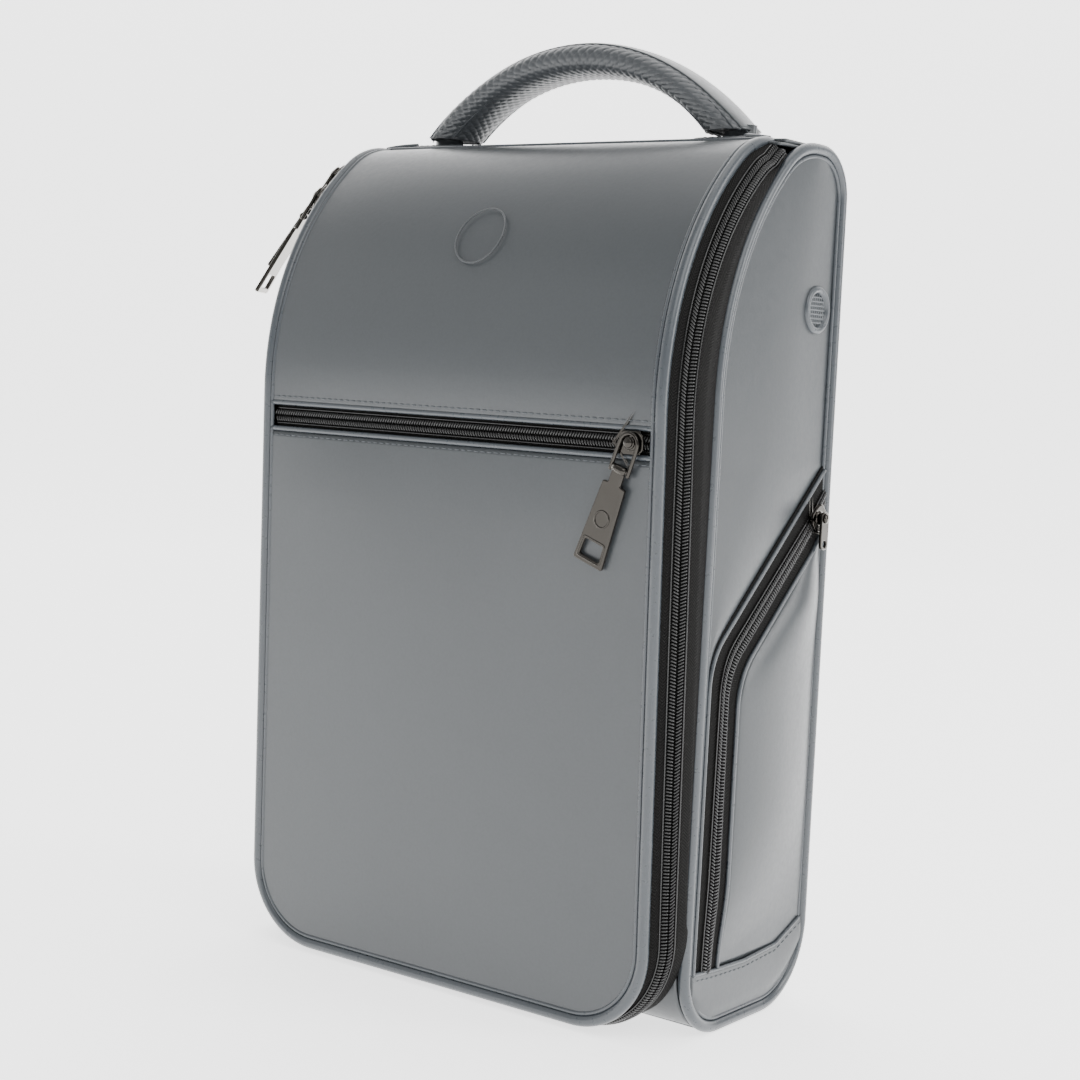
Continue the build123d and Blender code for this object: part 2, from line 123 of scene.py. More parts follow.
def bodyProfile(inset):
    # the closed gusset outline, from the toe of the base round by the back and over the crown
    front, back, top = bag["front"] + inset, bag["back"] - inset, bag["height"] - inset
    toe, heel, nape = (bag[k] - inset for k in ("toeRadius", "heelRadius", "napeRadius"))
    return joined(
        np.linspace((front + toe, inset), (back - heel, inset), 10),
        arcPoints((back - heel, inset + heel), heel, -90, 0, 24),
        np.linspace((back, inset + heel), (back, top - nape), 80),
        arcPoints((back - nape, top - nape), nape, 0, 90, 20),
        np.linspace((back - nape, top), (bodyCrown[0], top), 4),
        arcPoints(bodyCrown, bag["crownRadius"] - inset, 90, 90 + bodyTurn, 24),
        arcPoints(bodyLower, bag["shoulderRadius"] - inset, 90 + bodyTurn, 180, 60),
        np.linspace((front, bodyLower[1]), (front, inset + toe), 70),
        arcPoints((front + toe, inset + toe), toe, 180, 270, 20),
    )


bodyLine = bodyProfile(0.0)


def roomBehind(points):
    # how far the body stands behind points of the lid's profile
    return np.array([np.linalg.norm(bodyLine - p, axis=1).min() for p in points])


# Mesh making
def makePiece(name, points, faces, material, body, slot, floats=None):
    mesh = bpy.data.meshes.new(name)
    mesh.from_pydata((np.asarray(points, float) / 1000.0).tolist(), [], faces)
    mesh.validate()
    mesh.polygons.foreach_set("use_smooth", [True] * len(mesh.polygons))
    for key, values in (floats or {}).items():
        mesh.attributes.new(key, "FLOAT", "POINT").data.foreach_set("value", np.asarray(values, np.float32))
    piece = bpy.data.objects.new(name, mesh)
    scene.collection.objects.link(piece)
    mesh.materials.append(material)
    piece["maker"] = body
    return piece


def settle(piece, *replaced):
    # once its mesh is final, the piece rides on its body
    body = piece["maker"]
    del piece["maker"]
    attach(piece, body)
    if replaced:
        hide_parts(*replaced)


def addPiece(name, mesh, finish, body, slot, *replaced):
    settle(makePiece(name, *mesh, finishes[finish], body, slot), *replaced)


def gridFaces(rows, columns, closeRows=False, closeColumns=False, turned=False):
    faces = []
    for r in range(rows if closeRows else rows - 1):
        for c in range(columns if closeColumns else columns - 1):
            r1, c1 = (r + 1) % rows, (c + 1) % columns
            faces.append((r * columns + c, r * columns + c1, r1 * columns + c1, r1 * columns + c))
    return [f[::-1] for f in faces] if turned else faces


def capFaces(ringCount, pointCount):
    # the two ends of a closed run of rings
    return [tuple(range(ringCount))[::-1], tuple(range(pointCount - ringCount, pointCount))]


def lengthsAlong(path):
    return np.r_[0, np.cumsum(np.linalg.norm(np.diff(path, axis=0), axis=1))]


def unitRows(vectors):
    return vectors / np.linalg.norm(vectors, axis=-1)[..., None]


def fullTurn(count):
    return np.linspace(0, 2 * pi, count, endpoint=False)


def applyModifiers(piece):
    graph = bpy.context.evaluated_depsgraph_get()
    mesh = bpy.data.meshes.new_from_object(piece.evaluated_get(graph))
    old = piece.data
    piece.modifiers.clear()
    piece.data = mesh
    bpy.data.meshes.remove(old)


def thicken(piece, thick, offset=-1.0):
    solid = piece.modifiers.new("thick", "SOLIDIFY")
    solid.thickness = thick / 1000.0
    solid.offset = offset
    applyModifiers(piece)


def pathFrames(path, closed=False, up=None):
    ahead = np.roll(path, -1, 0) - np.roll(path, 1, 0)
    if not closed:
        ahead[0], ahead[-1] = path[1] - path[0], path[-1] - path[-2]
    tangent = unitRows(ahead)
    if up is None:
        sides = np.zeros_like(path)
        last = np.array([0.3, 0.5, 0.8])
        for i, t in enumerate(tangent):
            last = last - t * (last @ t)
            last = last / np.linalg.norm(last)
            sides[i] = last
    else:
        sides = unitRows(up - tangent * (up * tangent).sum(1)[:, None])
    return tangent, sides, np.cross(tangent, sides)


def tubeMesh(path, radius, ringCount=12, closed=False):
    _, side, other = pathFrames(path, closed)
    turns = fullTurn(ringCount)
    ring = side[:, None] * np.cos(turns)[None, :, None] + other[:, None] * np.sin(turns)[None, :, None]
    points = (path[:, None] + ring * radius).reshape(-1, 3)
    faces = gridFaces(len(path), ringCount, closed, True)
    if not closed:
        faces += capFaces(ringCount, len(points))
    return points, faces


def capsules(centres, axes, ups, halfLength, halfWidth, halfHeight, bend, sides=6):
    # small rounded bars, one for each centre, used for stitches and for the teeth of the zips
    stations = np.array([-1.0, -0.72, 0.0, 0.72, 1.0])
    girth = np.array([0.45, 1.0, 1.0, 1.0, 0.45])
    turns = fullTurn(sides)
    across = np.cross(ups, axes)
    spine = centres[:, None] + axes[:, None] * (stations * halfLength)[None, :, None]
    spine = spine - ups[:, None] * (bend * stations**2)[None, :, None]
    ring = (across[:, None, None] * (np.cos(turns) * halfWidth)[None, None, :, None]
            + ups[:, None, None] * (np.sin(turns) * halfHeight)[None, None, :, None])
    points = spine[:, :, None] + ring * girth[None, :, None, None]
    each = len(stations) * sides
    one = gridFaces(len(stations), sides, False, True) + capFaces(sides, each)
    faces = [tuple(v + k * each for v in f) for k in range(len(centres)) for f in one]
    return points.reshape(-1, 3), faces


def stitchRow(path, up, pitch=3.4, halfLength=1.15, halfWidth=0.34, halfHeight=0.26):
    count = max(2, int(pathLength(path) / pitch))
    spots = resampled(np.c_[path, np.broadcast_to(up, path.shape)], count)
    path, up = spots[:, :3], spots[:, 3:]
    tangent, side, _ = pathFrames(path, up=up)
    return capsules(path, tangent, side, halfLength, halfWidth, halfHeight, 0.12)


def together(*meshes):
    points, faces, start = [], [], 0
    for mesh in meshes:
        points.append(mesh[0])
        faces += [tuple(v + start for v in f) for f in mesh[1]]
        start += len(mesh[0])
    return np.concatenate(points), faces


# Materials
def newGroup(name, inputs, outputs):
    group = bpy.data.node_groups.new(name, "ShaderNodeTree")
    for label, kind, value in inputs:
        group.interface.new_socket(label, in_out="INPUT", socket_type=kind).default_value = value
    for label, kind in outputs:
        group.interface.new_socket(label, in_out="OUTPUT", socket_type=kind)
    return group, group.nodes.new("NodeGroupInput"), group.nodes.new("NodeGroupOutput")


def feed(tree, socket, value):
    # a plain value is set and an output is linked
    if isinstance(value, (int, float, tuple)):
        socket.default_value = value
    else:
        tree.links.new(value, socket)


def addMath(tree, operation, *values):
    node = tree.nodes.new("ShaderNodeMath")
    node.operation = operation
    for socket, value in zip(node.inputs, values):
        feed(tree, socket, value)
    return node.outputs[0]


def addRange(tree, value, low, high, toLow, toHigh):
    node = tree.nodes.new("ShaderNodeMapRange")
    tree.links.new(value, node.inputs["Value"])
    for key, number in (("From Min", low), ("From Max", high), ("To Min", toLow), ("To Max", toHigh)):
        node.inputs[key].default_value = number
    return node.outputs["Result"]


def addMix(tree, factor, first, second):
    node = tree.nodes.new("ShaderNodeMix")
    node.data_type = "RGBA"
    for key, value in (("Factor", factor), (6, first), (7, second)):
        feed(tree, node.inputs[key], value)
    return node.outputs[2]


def addTexture(tree, kind, place, scale, **settings):
    node = tree.nodes.new(kind)
    for key, value in settings.items():
        if key in node.inputs:
            node.inputs[key].default_value = value
        else:
            setattr(node, key, value)
    feed(tree, node.inputs["Vector"], place)
    feed(tree, node.inputs["Scale"], scale)
    return node


def setInputs(node, **values):
    # Pebble_Scale stands for the socket named Pebble Scale
    for key, value in values.items():
        node.inputs[key.replace("_", " ")].default_value = value


def makeGrainGroup():
    # fine leather grain: small soft pebbles, a slow mottle and a few faint creases
    group, given, result = newGroup(
        "fineGrain",
        [("Tint", "NodeSocketColor", (0.2, 0.2, 0.2, 1)), ("Pebble Scale", "NodeSocketFloat", 900.0),
         ("Mottle", "NodeSocketFloat", 0.12), ("Roughness Base", "NodeSocketFloat", 0.42),
         ("Depth", "NodeSocketFloat", -0.15)],
        [("Color", "NodeSocketColor"), ("Roughness", "NodeSocketFloat"), ("Height", "NodeSocketFloat")],
    )
    place = group.nodes.new("ShaderNodeTexCoord").outputs["Object"]
    pebbles = addTexture(group, "ShaderNodeTexVoronoi", place, given.outputs["Pebble Scale"],
                         feature="SMOOTH_F1", Smoothness=0.7)
    slow = addTexture(group, "ShaderNodeTexNoise", place, 14.0, Detail=3.0)
    fine = addTexture(group, "ShaderNodeTexNoise", place, 420.0, Detail=4.0, Roughness=0.6)
    creases = addTexture(group, "ShaderNodeTexNoise", place, 38.0, Detail=2.0, Distortion=0.8)
    shade = addRange(group, slow.outputs["Fac"], 0.3, 0.7, -1.0, 1.0)
    amount = addMath(group, "MULTIPLY", shade, given.outputs["Mottle"])
    grainShade = addRange(group, pebbles.outputs["Distance"], 0.0, 0.8, 0.05, -0.06)
    value = addMath(group, "ADD", addMath(group, "ADD", amount, grainShade), 1.0)
    hue = group.nodes.new("ShaderNodeHueSaturation")
    group.links.new(given.outputs["Tint"], hue.inputs["Color"])
    group.links.new(value, hue.inputs["Value"])
    group.links.new(hue.outputs["Color"], result.inputs["Color"])
    rough = addRange(group, fine.outputs["Fac"], 0.3, 0.7, -0.05, 0.06)
    rough = addMath(group, "ADD", given.outputs["Roughness Base"], rough)
    group.links.new(rough, result.inputs["Roughness"])
    height = addMath(group, "MULTIPLY", pebbles.outputs["Distance"], given.outputs["Depth"])
    height = addMath(group, "ADD", height, addMath(group, "MULTIPLY", fine.outputs["Fac"], 0.5))
    height = addMath(group, "ADD", height, addMath(group, "MULTIPLY", creases.outputs["Fac"], 0.8))
    group.links.new(height, result.inputs["Height"])
    return group


def makeWeaveGroup():
    # herringbone tape: chevrons that run along the piece, from its own along and across lengths
    group, given, result = newGroup(
        "herringbone",
        [("Dark", "NodeSocketColor", (0.01, 0.01, 0.01, 1)),
         ("Light", "NodeSocketColor", (0.05, 0.05, 0.05, 1)),
         ("Pitch", "NodeSocketFloat", 1.5), ("Column", "NodeSocketFloat", 3.0)],
        [("Color", "NodeSocketColor"), ("Height", "NodeSocketFloat"), ("Roughness", "NodeSocketFloat")],
    )
    along = group.nodes.new("ShaderNodeAttribute")
    along.attribute_name = "alongMm"
    across = group.nodes.new("ShaderNodeAttribute")
    across.attribute_name = "acrossMm"
    fold = addMath(group, "PINGPONG", across.outputs["Fac"], given.outputs["Column"])
    chevron = addMath(group, "ADD", along.outputs["Fac"], fold)
    phase = addMath(group, "DIVIDE", chevron, given.outputs["Pitch"])
    wave = addMath(group, "ABSOLUTE", addMath(group, "SINE", addMath(group, "MULTIPLY", phase, pi)))
    place = group.nodes.new("ShaderNodeTexCoord").outputs["Object"]
    fuzz = addTexture(group, "ShaderNodeTexNoise", place, 1500.0, Detail=3.0)
    level = addMath(group, "MULTIPLY", wave, addRange(group, fuzz.outputs["Fac"], 0.3, 0.7, 0.55, 1.0))
    color = addMix(group, level, given.outputs["Dark"], given.outputs["Light"])
    group.links.new(color, result.inputs["Color"])
    group.links.new(wave, result.inputs["Height"])
    group.links.new(addRange(group, fuzz.outputs["Fac"], 0.3, 0.7, 0.75, 0.95), result.inputs["Roughness"])
    return group


grainGroup = makeGrainGroup()
weaveGroup = makeWeaveGroup()


def newMaterial(name):
    material = bpy.data.materials.new(name)
    material.use_nodes = True
    return material, material.node_tree, material.node_tree.nodes["Principled BSDF"]


def putBump(tree, shader, height, strength, distance):
    bump = tree.nodes.new("ShaderNodeBump")
    bump.inputs["Strength"].default_value = strength
    bump.inputs["Distance"].default_value = distance
    tree.links.new(height, bump.inputs["Height"])
    tree.links.new(bump.outputs["Normal"], shader.inputs["Normal"])


def leatherMaterial(name, tint, pebbles=900.0, mottle=0.03, rough=0.34, bump=0.22, coat=0.2):
    material, tree, shader = newMaterial(name)
    grain = tree.nodes.new("ShaderNodeGroup")
    grain.node_tree = grainGroup
    depth = -0.6 if pebbles < 500 else -0.08
    setInputs(grain, Tint=(*tint, 1), Pebble_Scale=pebbles, Mottle=mottle, Roughness_Base=rough,
              Depth=depth)
    tree.links.new(grain.outputs["Color"], shader.inputs["Base Color"])
    tree.links.new(grain.outputs["Roughness"], shader.inputs["Roughness"])
    putBump(tree, shader, grain.outputs["Height"], bump, 0.0004)
    setInputs(shader, Specular_IOR_Level=0.5, Sheen_Weight=0.0, Sheen_Roughness=0.4, Coat_Weight=coat,
              Coat_Roughness=0.3)
    return material


def tapeMaterial(name, dark, light, pitch, column):
    material, tree, shader = newMaterial(name)
    weave = tree.nodes.new("ShaderNodeGroup")
    weave.node_tree = weaveGroup
    setInputs(weave, Dark=(*dark, 1), Light=(*light, 1), Pitch=pitch, Column=column)
    tree.links.new(weave.outputs["Color"], shader.inputs["Base Color"])
    tree.links.new(weave.outputs["Roughness"], shader.inputs["Roughness"])
    putBump(tree, shader, weave.outputs["Height"], 0.5, 0.0003)
    setInputs(shader, Specular_IOR_Level=0.15)
    return material


def plasticMaterial(name, tint, rough, noise=900.0, bump=0.1):
    material, tree, shader = newMaterial(name)
    place = tree.nodes.new("ShaderNodeTexCoord").outputs["Object"]
    speckle = addTexture(tree, "ShaderNodeTexNoise", place, noise, Detail=4.0)
    dark = tuple(c * 0.8 for c in tint) + (1,)
    light = tuple(min(1, c * 1.2) for c in tint) + (1,)
    tree.links.new(addMix(tree, speckle.outputs["Fac"], dark, light), shader.inputs["Base Color"])
    tree.links.new(addRange(tree, speckle.outputs["Fac"], 0.3, 0.7, rough * 0.8, rough * 1.2),
                   shader.inputs["Roughness"])
    putBump(tree, shader, speckle.outputs["Fac"], bump, 0.0001)
    return material


def metalMaterial(name, face, edge):
    # polished plate with a painted reflection: dark base colour where it faces the eye and a painted bright
    # highlight along its rounded edges
    material, tree, shader = newMaterial(name)
    place = tree.nodes.new("ShaderNodeTexCoord").outputs["Object"]
    smear = addTexture(tree, "ShaderNodeTexNoise", place, 120.0, Detail=3.0)
    edgeGlintWeight = tree.nodes.new("ShaderNodeLayerWeight")
    edgeGlintWeight.inputs["Blend"].default_value = 0.35
    # painted highlight: the base colour brightens towards grazing angles in place of reflections along the
    # edges
    level = addRange(tree, edgeGlintWeight.outputs["Facing"], 0.35, 0.85, 0.0, 1.0)
    tree.links.new(addMix(tree, level, (*face, 1), (*edge, 1)), shader.inputs["Base Color"])
    tree.links.new(addRange(tree, smear.outputs["Fac"], 0.3, 0.7, 0.10, 0.2), shader.inputs["Roughness"])
    putBump(tree, shader, smear.outputs["Fac"], 0.03, 0.0001)
    shader.inputs["Metallic"].default_value = 1.0
    return material


def clothMaterial(name, tint, scale):
    material, tree, shader = newMaterial(name)
    place = tree.nodes.new("ShaderNodeTexCoord").outputs["Object"]
    threads = addTexture(tree, "ShaderNodeTexChecker", place, scale)
    fuzz = addTexture(tree, "ShaderNodeTexNoise", place, scale * 0.6, Detail=3.0)
    height = addMath(tree, "MULTIPLY", threads.outputs["Fac"], fuzz.outputs["Fac"])
    dark = tuple(c * 0.6 for c in tint) + (1,)
    tree.links.new(addMix(tree, height, dark, (*tint, 1)), shader.inputs["Base Color"])
    putBump(tree, shader, height, 0.3, 0.0002)
    setInputs(shader, Roughness=0.9, Sheen_Weight=0.3)
    return material


finishes = {
    "leather": leatherMaterial("greyLeather", (0.036, 0.041, 0.045)),
    "piping": leatherMaterial("pipingLeather", (0.036, 0.043, 0.050), 900.0, 0.04, 0.30, 0.12, 0.3),
    "grip": leatherMaterial("pebbledLeather", (0.036, 0.040, 0.044), 420.0, 0.06, 0.38, 0.5, 0.15),
    "thread": plasticMaterial("greyThread", (0.05, 0.057, 0.063), 0.55, 3000.0, 0.3),
    "tape": tapeMaterial("zipTape", (0.0015, 0.0015, 0.0015), (0.011, 0.0105, 0.010), 1.3, 2.6),
    "coil": plasticMaterial("coilNylon", (0.004, 0.004, 0.004), 0.24),
    # the second colour is a painted edge highlight, not the metal's own tone
    "metal": metalMaterial("gunmetal", (0.045, 0.042, 0.038), (0.62, 0.59, 0.54)),
    "lining": clothMaterial("liningCloth", (0.045, 0.046, 0.05), 1400.0),
    "board": plasticMaterial("stiffener", (0.06, 0.06, 0.062), 0.8, 500.0, 0.4),
    "foam": plasticMaterial("foam", (0.030, 0.034, 0.038), 0.95, 2500.0, 0.6),
    "ventMesh": plasticMaterial("ventMesh", (0.10, 0.108, 0.115), 0.5, 900.0, 0.2),
}
print("materials made:", len(finishes))


# Soft swelling of a sheet between its stitched edges
def puff(piece, pinned, pressure, steps, cap, stiffness=25.0):
    rest = np.array([v.co for v in piece.data.vertices])
    group = piece.vertex_groups.new(name="stitched")
    group.add([int(i) for i in np.nonzero(pinned)[0]], 1.0, "REPLACE")
    cloth = piece.modifiers.new("cloth", "CLOTH")
    settings = {"quality": 6, "mass": 0.3, "tension_stiffness": stiffness,
                "compression_stiffness": stiffness, "shear_stiffness": stiffness * 0.6,
                "bending_stiffness": 1.5, "air_damping": 2.0, "vertex_group_mass": "stitched",
                "use_pressure": True, "uniform_pressure_force": pressure}
    for key, value in settings.items():
        setattr(cloth.settings, key, value)
    cloth.settings.effector_weights.gravity = 0.0
    cloth.collision_settings.use_collision = False
    cloth.point_cache.frame_start = 1
    cloth.point_cache.frame_end = steps
    for step in range(1, steps + 1):
        scene.frame_set(step)
    applyModifiers(piece)
    now = np.array([v.co for v in piece.data.vertices])
    moved = now - rest
    length = np.linalg.norm(moved, axis=1)
    held = cap / 1000.0 * np.tanh(length * 1000.0 / cap)
    scale = np.where(length > 1e-9, held / np.maximum(length, 1e-9), 0)
    piece.data.vertices.foreach_set("co", (rest + moved * scale[:, None]).astype(np.float32).ravel())
    piece.data.update()
    scene.frame_set(1)
    print(piece.name, "swelled by", round(float(length.max() * 1000), 2), "mm before the cap")


def smoothStep(values):
    t = np.clip(values, 0, 1)
    return t * t * (3 - 2 * t)


# Lid
lid = {
    "zipHeight": 240.0,
    "zipSlot": 10.4,
    "margin": 4.6,  # from the lid's outline to the panel's edge, under the piping's lip
    "depth": 1.3,
    "crown": 1.6,  # how far the panels stand out at their middles
    "columns": 61,
    "leather": 1.6,
    "spread": 0.86,  # how far the panel's columns crowd towards its edges
    "roll": 1.15,
    "rowGap": 3.4,
    "ring": (12.0, 322.0),  # radius and height of the pressed ring
}


def lidSurface(x, z, depth):
    # points of the lid's face, at a depth behind it, for z on or below the crown
    return np.stack([x, lidY(z, depth), z], -1)


def lidHalfWidth(z, margin):
    half = bag["halfLid"] - margin
    radius = bag["lidCorner"] - margin
    low = bag["lidFoot"] + margin
    drop = np.clip(radius - (z - low), 0, radius)
    return half - radius + np.sqrt(np.maximum(radius**2 - drop**2, 0))


def crowded(columns, spread):
    # column places from -1 to 1, closer together near the ends
    return np.sin(np.linspace(-pi / 2, pi / 2, columns) * spread) / sin(pi / 2 * spread)


def edgePins(rows, columns):
    pinned = np.zeros((rows, columns), bool)
    pinned[:, [0, -1]] = True
    pinned[[0, -1], :] = True
    return pinned.ravel()


def makeLidPanel(name, profile, edgeRows, pillow, kind="leather"):
    # profile: the (y, z) line down the panel; each row is as wide as the lid's outline there
    half = lidHalfWidth(profile[:, 1], lid["margin"])
    across = crowded(lid["columns"], lid["spread"])
    rows = len(profile)
    tangent = np.gradient(profile, axis=0)
    normal = unitRows(np.stack([tangent[:, 1], -tangent[:, 0]], 1))
    down = np.linspace(0, 1, rows)
    endRise = np.minimum(1, np.minimum(down * edgeRows[0], (1 - down) * edgeRows[1]))
    rise = (1 - np.abs(across[None, :]) ** 4) * endRise[:, None]
    points = np.zeros((rows, len(across), 3))
    points[:, :, 0] = half[:, None] * across[None, :]
    points[:, :, 1] = profile[:, None, 0] + normal[:, None, 0] * (rise * pillow)
    points[:, :, 2] = profile[:, None, 1] + normal[:, None, 1] * (rise * pillow)
    faces = gridFaces(rows, len(across), turned=True)
    piece = makePiece(name, points.reshape(-1, 3), faces, finishes[kind], "lid", kind)
    return piece, edgePins(rows, len(across))


slotTop = lid["zipHeight"] + lid["zipSlot"] / 2
slotBottom = lid["zipHeight"] - lid["zipSlot"] / 2
fullProfile = lidProfile(lid["depth"], 0.0, bag["lidFoot"] + lid["margin"])
topStart = np.linspace((bag["hingeY"] + 0.5, bag["height"] - lid["depth"]), fullProfile[0], 3)
fullProfile = joined(topStart[:-1], fullProfile)
upperProfile = resampled(fullProfile[fullProfile[:, 1] > slotTop - 0.5], 64)
lowerProfile = resampled(fullProfile[fullProfile[:, 1] < slotBottom + 0.5], 88)
upperPanel, upperPins = makeLidPanel("lidUpperLeather", upperProfile, (4, 9), lid["crown"] * 0.5)
lowerPanel, lowerPins = makeLidPanel("lidLowerLeather", lowerProfile, (9, 8), lid["crown"])
puff(upperPanel, upperPins, 1.2, 14, 1.6)
puff(lowerPanel, lowerPins, 1.2, 14, 2.2)
for panel, node in ((upperPanel, "lid_upper_panel"), (lowerPanel, "lid_lower_panel")):
    thicken(panel, lid["leather"])
    settle(panel, node)
print("lid panels made")


def makeSlotEdges():
    # the turned leather edges over and under the front zip, with a stitch row on each
    edges, stitches = [], []
    half = bag["halfLid"] - lid["margin"] - 1.0
    x = np.linspace(-half, half, 90)
    for z, away, share in ((slotTop, 1, 0.1), (slotBottom, -1, 0.16)):
        # the roll stands a little proud of the panel and wraps round its edge
        path = lidSurface(x, np.full_like(x, z + away * 0.6), lid["depth"] + 0.35)
        edges.append(tubeMesh(path, lid["roll"], 10))
        row = lidSurface(x, np.full_like(x, z + away * lid["rowGap"]), lid["depth"])
        row[:, 1] = row[:, 1] - 0.25 - lid["crown"] * share * (1 - np.abs(x / half) ** 4)
        stitches.append(stitchRow(row, np.array([0.0, -1.0, 0.0])))
    addPiece("slotEdges", together(*edges), "piping", "lid", "leather")
    addPiece("slotStitches", together(*stitches), "thread", "lid", "piping")


makeSlotEdges()


def makeRing():
    # a plain ring pressed into the upper leather
    turns = fullTurn(72)
    radius, middle = lid["ring"]
    path = lidSurface(radius * np.cos(turns), middle + radius * np.sin(turns),
                      lid["depth"] - lid["crown"] * 0.5 - 1.35)
    addPiece("lidRing", tubeMesh(path, 0.4, 8, True), "leather", "lid", "leather")


makeRing()


# Rails run round the lid's mouth like a U: down the left, along the foot and up the right
rails = {"sideCount": 190, "cornerCount": 26, "footCount": 60, "startAngle": 7.0}


def mouthRail(out, footZ, depth):
    # out: how far outside the lid's outline; depth(room): how far behind its face
    face = lidProfile(0.0, rails["startAngle"])
    room = roomBehind(face)
    radius = bag["lidCorner"] + out
    cornerZ = footZ + radius
    inward = np.gradient(face, axis=0)
    inward = unitRows(np.stack([-inward[:, 1], inward[:, 0]], 1))
    deep = np.array([depth(r) for r in room])
    line = face + inward * deep[:, None]
    line = line[line[:, 1] > cornerZ]
    line = np.r_[line, [[float(lidY(cornerZ, deep[-1])), cornerZ]]]
    side = resampled(line, rails["sideCount"])
    half = bag["halfLid"] + out
    left = np.c_[np.full(len(side), -half), side]
    turns = np.linspace(0, pi / 2, rails["cornerCount"])
    corner = lidSurface(-(half - radius) - radius * np.cos(turns), cornerZ - radius * np.sin(turns),
                        deep[-1])
    foot = lidSurface(np.linspace(-(half - radius), half - radius, rails["footCount"]),
                      np.full(rails["footCount"], footZ), deep[-1])
    mirror = [-1, 1, 1]
    return np.concatenate([left, corner[1:], foot[1:], corner[::-1][1:] * mirror, left[::-1][1:] * mirror])


def makeTape(name, rows, body, node):
    # a strip of zip tape through a list of rails
    stack = np.stack(rows, 1)
    count, width = stack.shape[:2]
    middle = stack[:, width // 2]
    along = lengthsAlong(middle)
    across = np.cumsum(np.linalg.norm(np.diff(stack, axis=1), axis=2), axis=1)
    across = np.c_[np.zeros(count), across]
    floats = {"alongMm": np.repeat(along, width), "acrossMm": across.ravel()}
    piece = makePiece(name, stack.reshape(-1, 3), gridFaces(count, width), finishes["tape"], body,
                      "zip_tape", floats)
    thicken(piece, 0.5, 0.0)
    settle(piece, node)


def finerRows(rows, count):
    return list(np.stack([resampled(s, count) for s in np.stack(rows, 1)], 1))


def chainMesh(middle, across, normal, chain):
    # two rows of small coil loops that meet along the middle line, each with its sewing cord
    halfWidth, pitch, toothHalf, toothHeight = (chain[k] for k in ("chainHalf", "pitch", "toothHalf",
                                                                   "toothHeight"))
    count = int(pathLength(middle) / pitch)
    table = resampled(np.c_[middle, across, normal], count * 2)
    spots, acrosses, normals = table[:, :3], unitRows(table[:, 3:6]), unitRows(table[:, 6:])
    tangent = pathFrames(spots)[0]
    meshes = []
    for parity, sign in ((0, 1.0), (1, -1.0)):
        here = slice(parity, None, 2)
        lean = unitRows(acrosses[here] * sign + tangent[here] * 0.45)
        centre = spots[here] + acrosses[here] * sign * (halfWidth * 0.46)
        centre = centre + normals[here] * toothHeight * 0.6
        loops = capsules(centre, lean, normals[here], halfWidth * 0.46, toothHalf, toothHeight, 0.3)
        cord = spots + acrosses * sign * (halfWidth + 0.25) + normals * 0.1
        meshes.append(together(loops, tubeMesh(cord, 0.4, 6)))
    return meshes


# Main zip
mainZip = {"chainHalf": 3.3, "pitch": 1.35, "toothHalf": 0.46, "toothHeight": 0.7,
           "lidRows": 9, "bodyRows": 13}


def squeezed(depth):
    return lambda room: min(depth, max(0.6, (room - 1.6) * depth / 11.6))


def footAt(out):
    return 3.6 - 0.22 * max(out, 0)


def makeMainZip():
    lidEdge = mouthRail(-1.6, 4.2, squeezed(4.0))
    lidBend = mouthRail(1.5, footAt(1.5), squeezed(6.2))
    middle = mouthRail(4.2, footAt(4.2), squeezed(9.2))
    bodyBend = mouthRail(7.0, footAt(6.6), squeezed(12.4))
    bodyFold = mouthRail(8.2, footAt(7.0), lambda room: max(0.8, min(16.5, room - 1.2)))
    bodyEdge = mouthRail(7.2, footAt(7.0), lambda room: max(1.0, room - 0.4))
    lidTape = finerRows([lidEdge, lidBend, middle], mainZip["lidRows"])
    bodyTape = finerRows([middle, bodyBend, bodyFold, bodyEdge], mainZip["bodyRows"])
    makeTape("mainTapeLid", lidTape, "lid", "main_zip_tape_lid")
    makeTape("mainTapeBody", bodyTape, "shell", "main_zip_tape_body")
    across = unitRows(bodyBend - lidBend)
    normal = np.cross(across, pathFrames(middle)[0])
    lidTeeth, bodyTeeth = chainMesh(middle + normal * 0.5, -across, normal, mainZip)
    addPiece("mainCoilLid", lidTeeth, "coil", "lid", "zip_coil", "main_zip_coil_lid")
    addPiece("mainCoilBody", bodyTeeth, "coil", "shell", "zip_coil", "main_zip_coil_body")


makeMainZip()
print("main zip made")


# Piping: a rolled edge with its sewn lip inside it
def makeLidPiping():
    radius = bag["piping"]
    rails["startAngle"] = 0.0
    path = mouthRail(-radius, bag["lidFoot"] + radius, lambda room: radius)
    lip = mouthRail(-radius * 2 - 0.6, bag["lidFoot"] + 2 * radius + 0.6, lambda room: 1.6)
    rails["startAngle"] = 7.0
    roll = together(tubeMesh(path, radius, 16), tubeMesh(lip, 0.9, 8))
    addPiece("lidPiping", roll, "piping", "lid", "piping", "lid_piping")


def gussetLoop(inset, x):
    # the gusset's outline, closed and evenly spaced, at a distance from the bag's middle
    line = bodyProfile(inset)
    line = resampled(np.r_[line, line[:1]], 520)[:-1]
    return np.c_[np.full(len(line), x), line]


def makeBodyPiping(sideName, side):
    radius = bag["piping"]
    x = side * (bag["gusset"] + radius)
    roll = tubeMesh(gussetLoop(radius, x), radius, 16, True)
    lip = tubeMesh(gussetLoop(radius * 2 + 0.9, x + side * 0.4), 1.0, 8, True)
    addPiece("bodyPiping_" + sideName, together(roll, lip), "piping", "shell", "piping",
             "body_piping_" + sideName)


makeLidPiping()
bothSides = (("right", 1), ("left", -1))
for sideName, side in bothSides:
    makeBodyPiping(sideName, side)
print("piping made")

# Front zip
frontZip = {"tapeHalf": 9.0, "tapeDepth": 4.3, "chainHalf": 3.1, "pitch": 1.35, "half": 101.0,
            "toothHalf": 0.45, "toothHeight": 0.68}


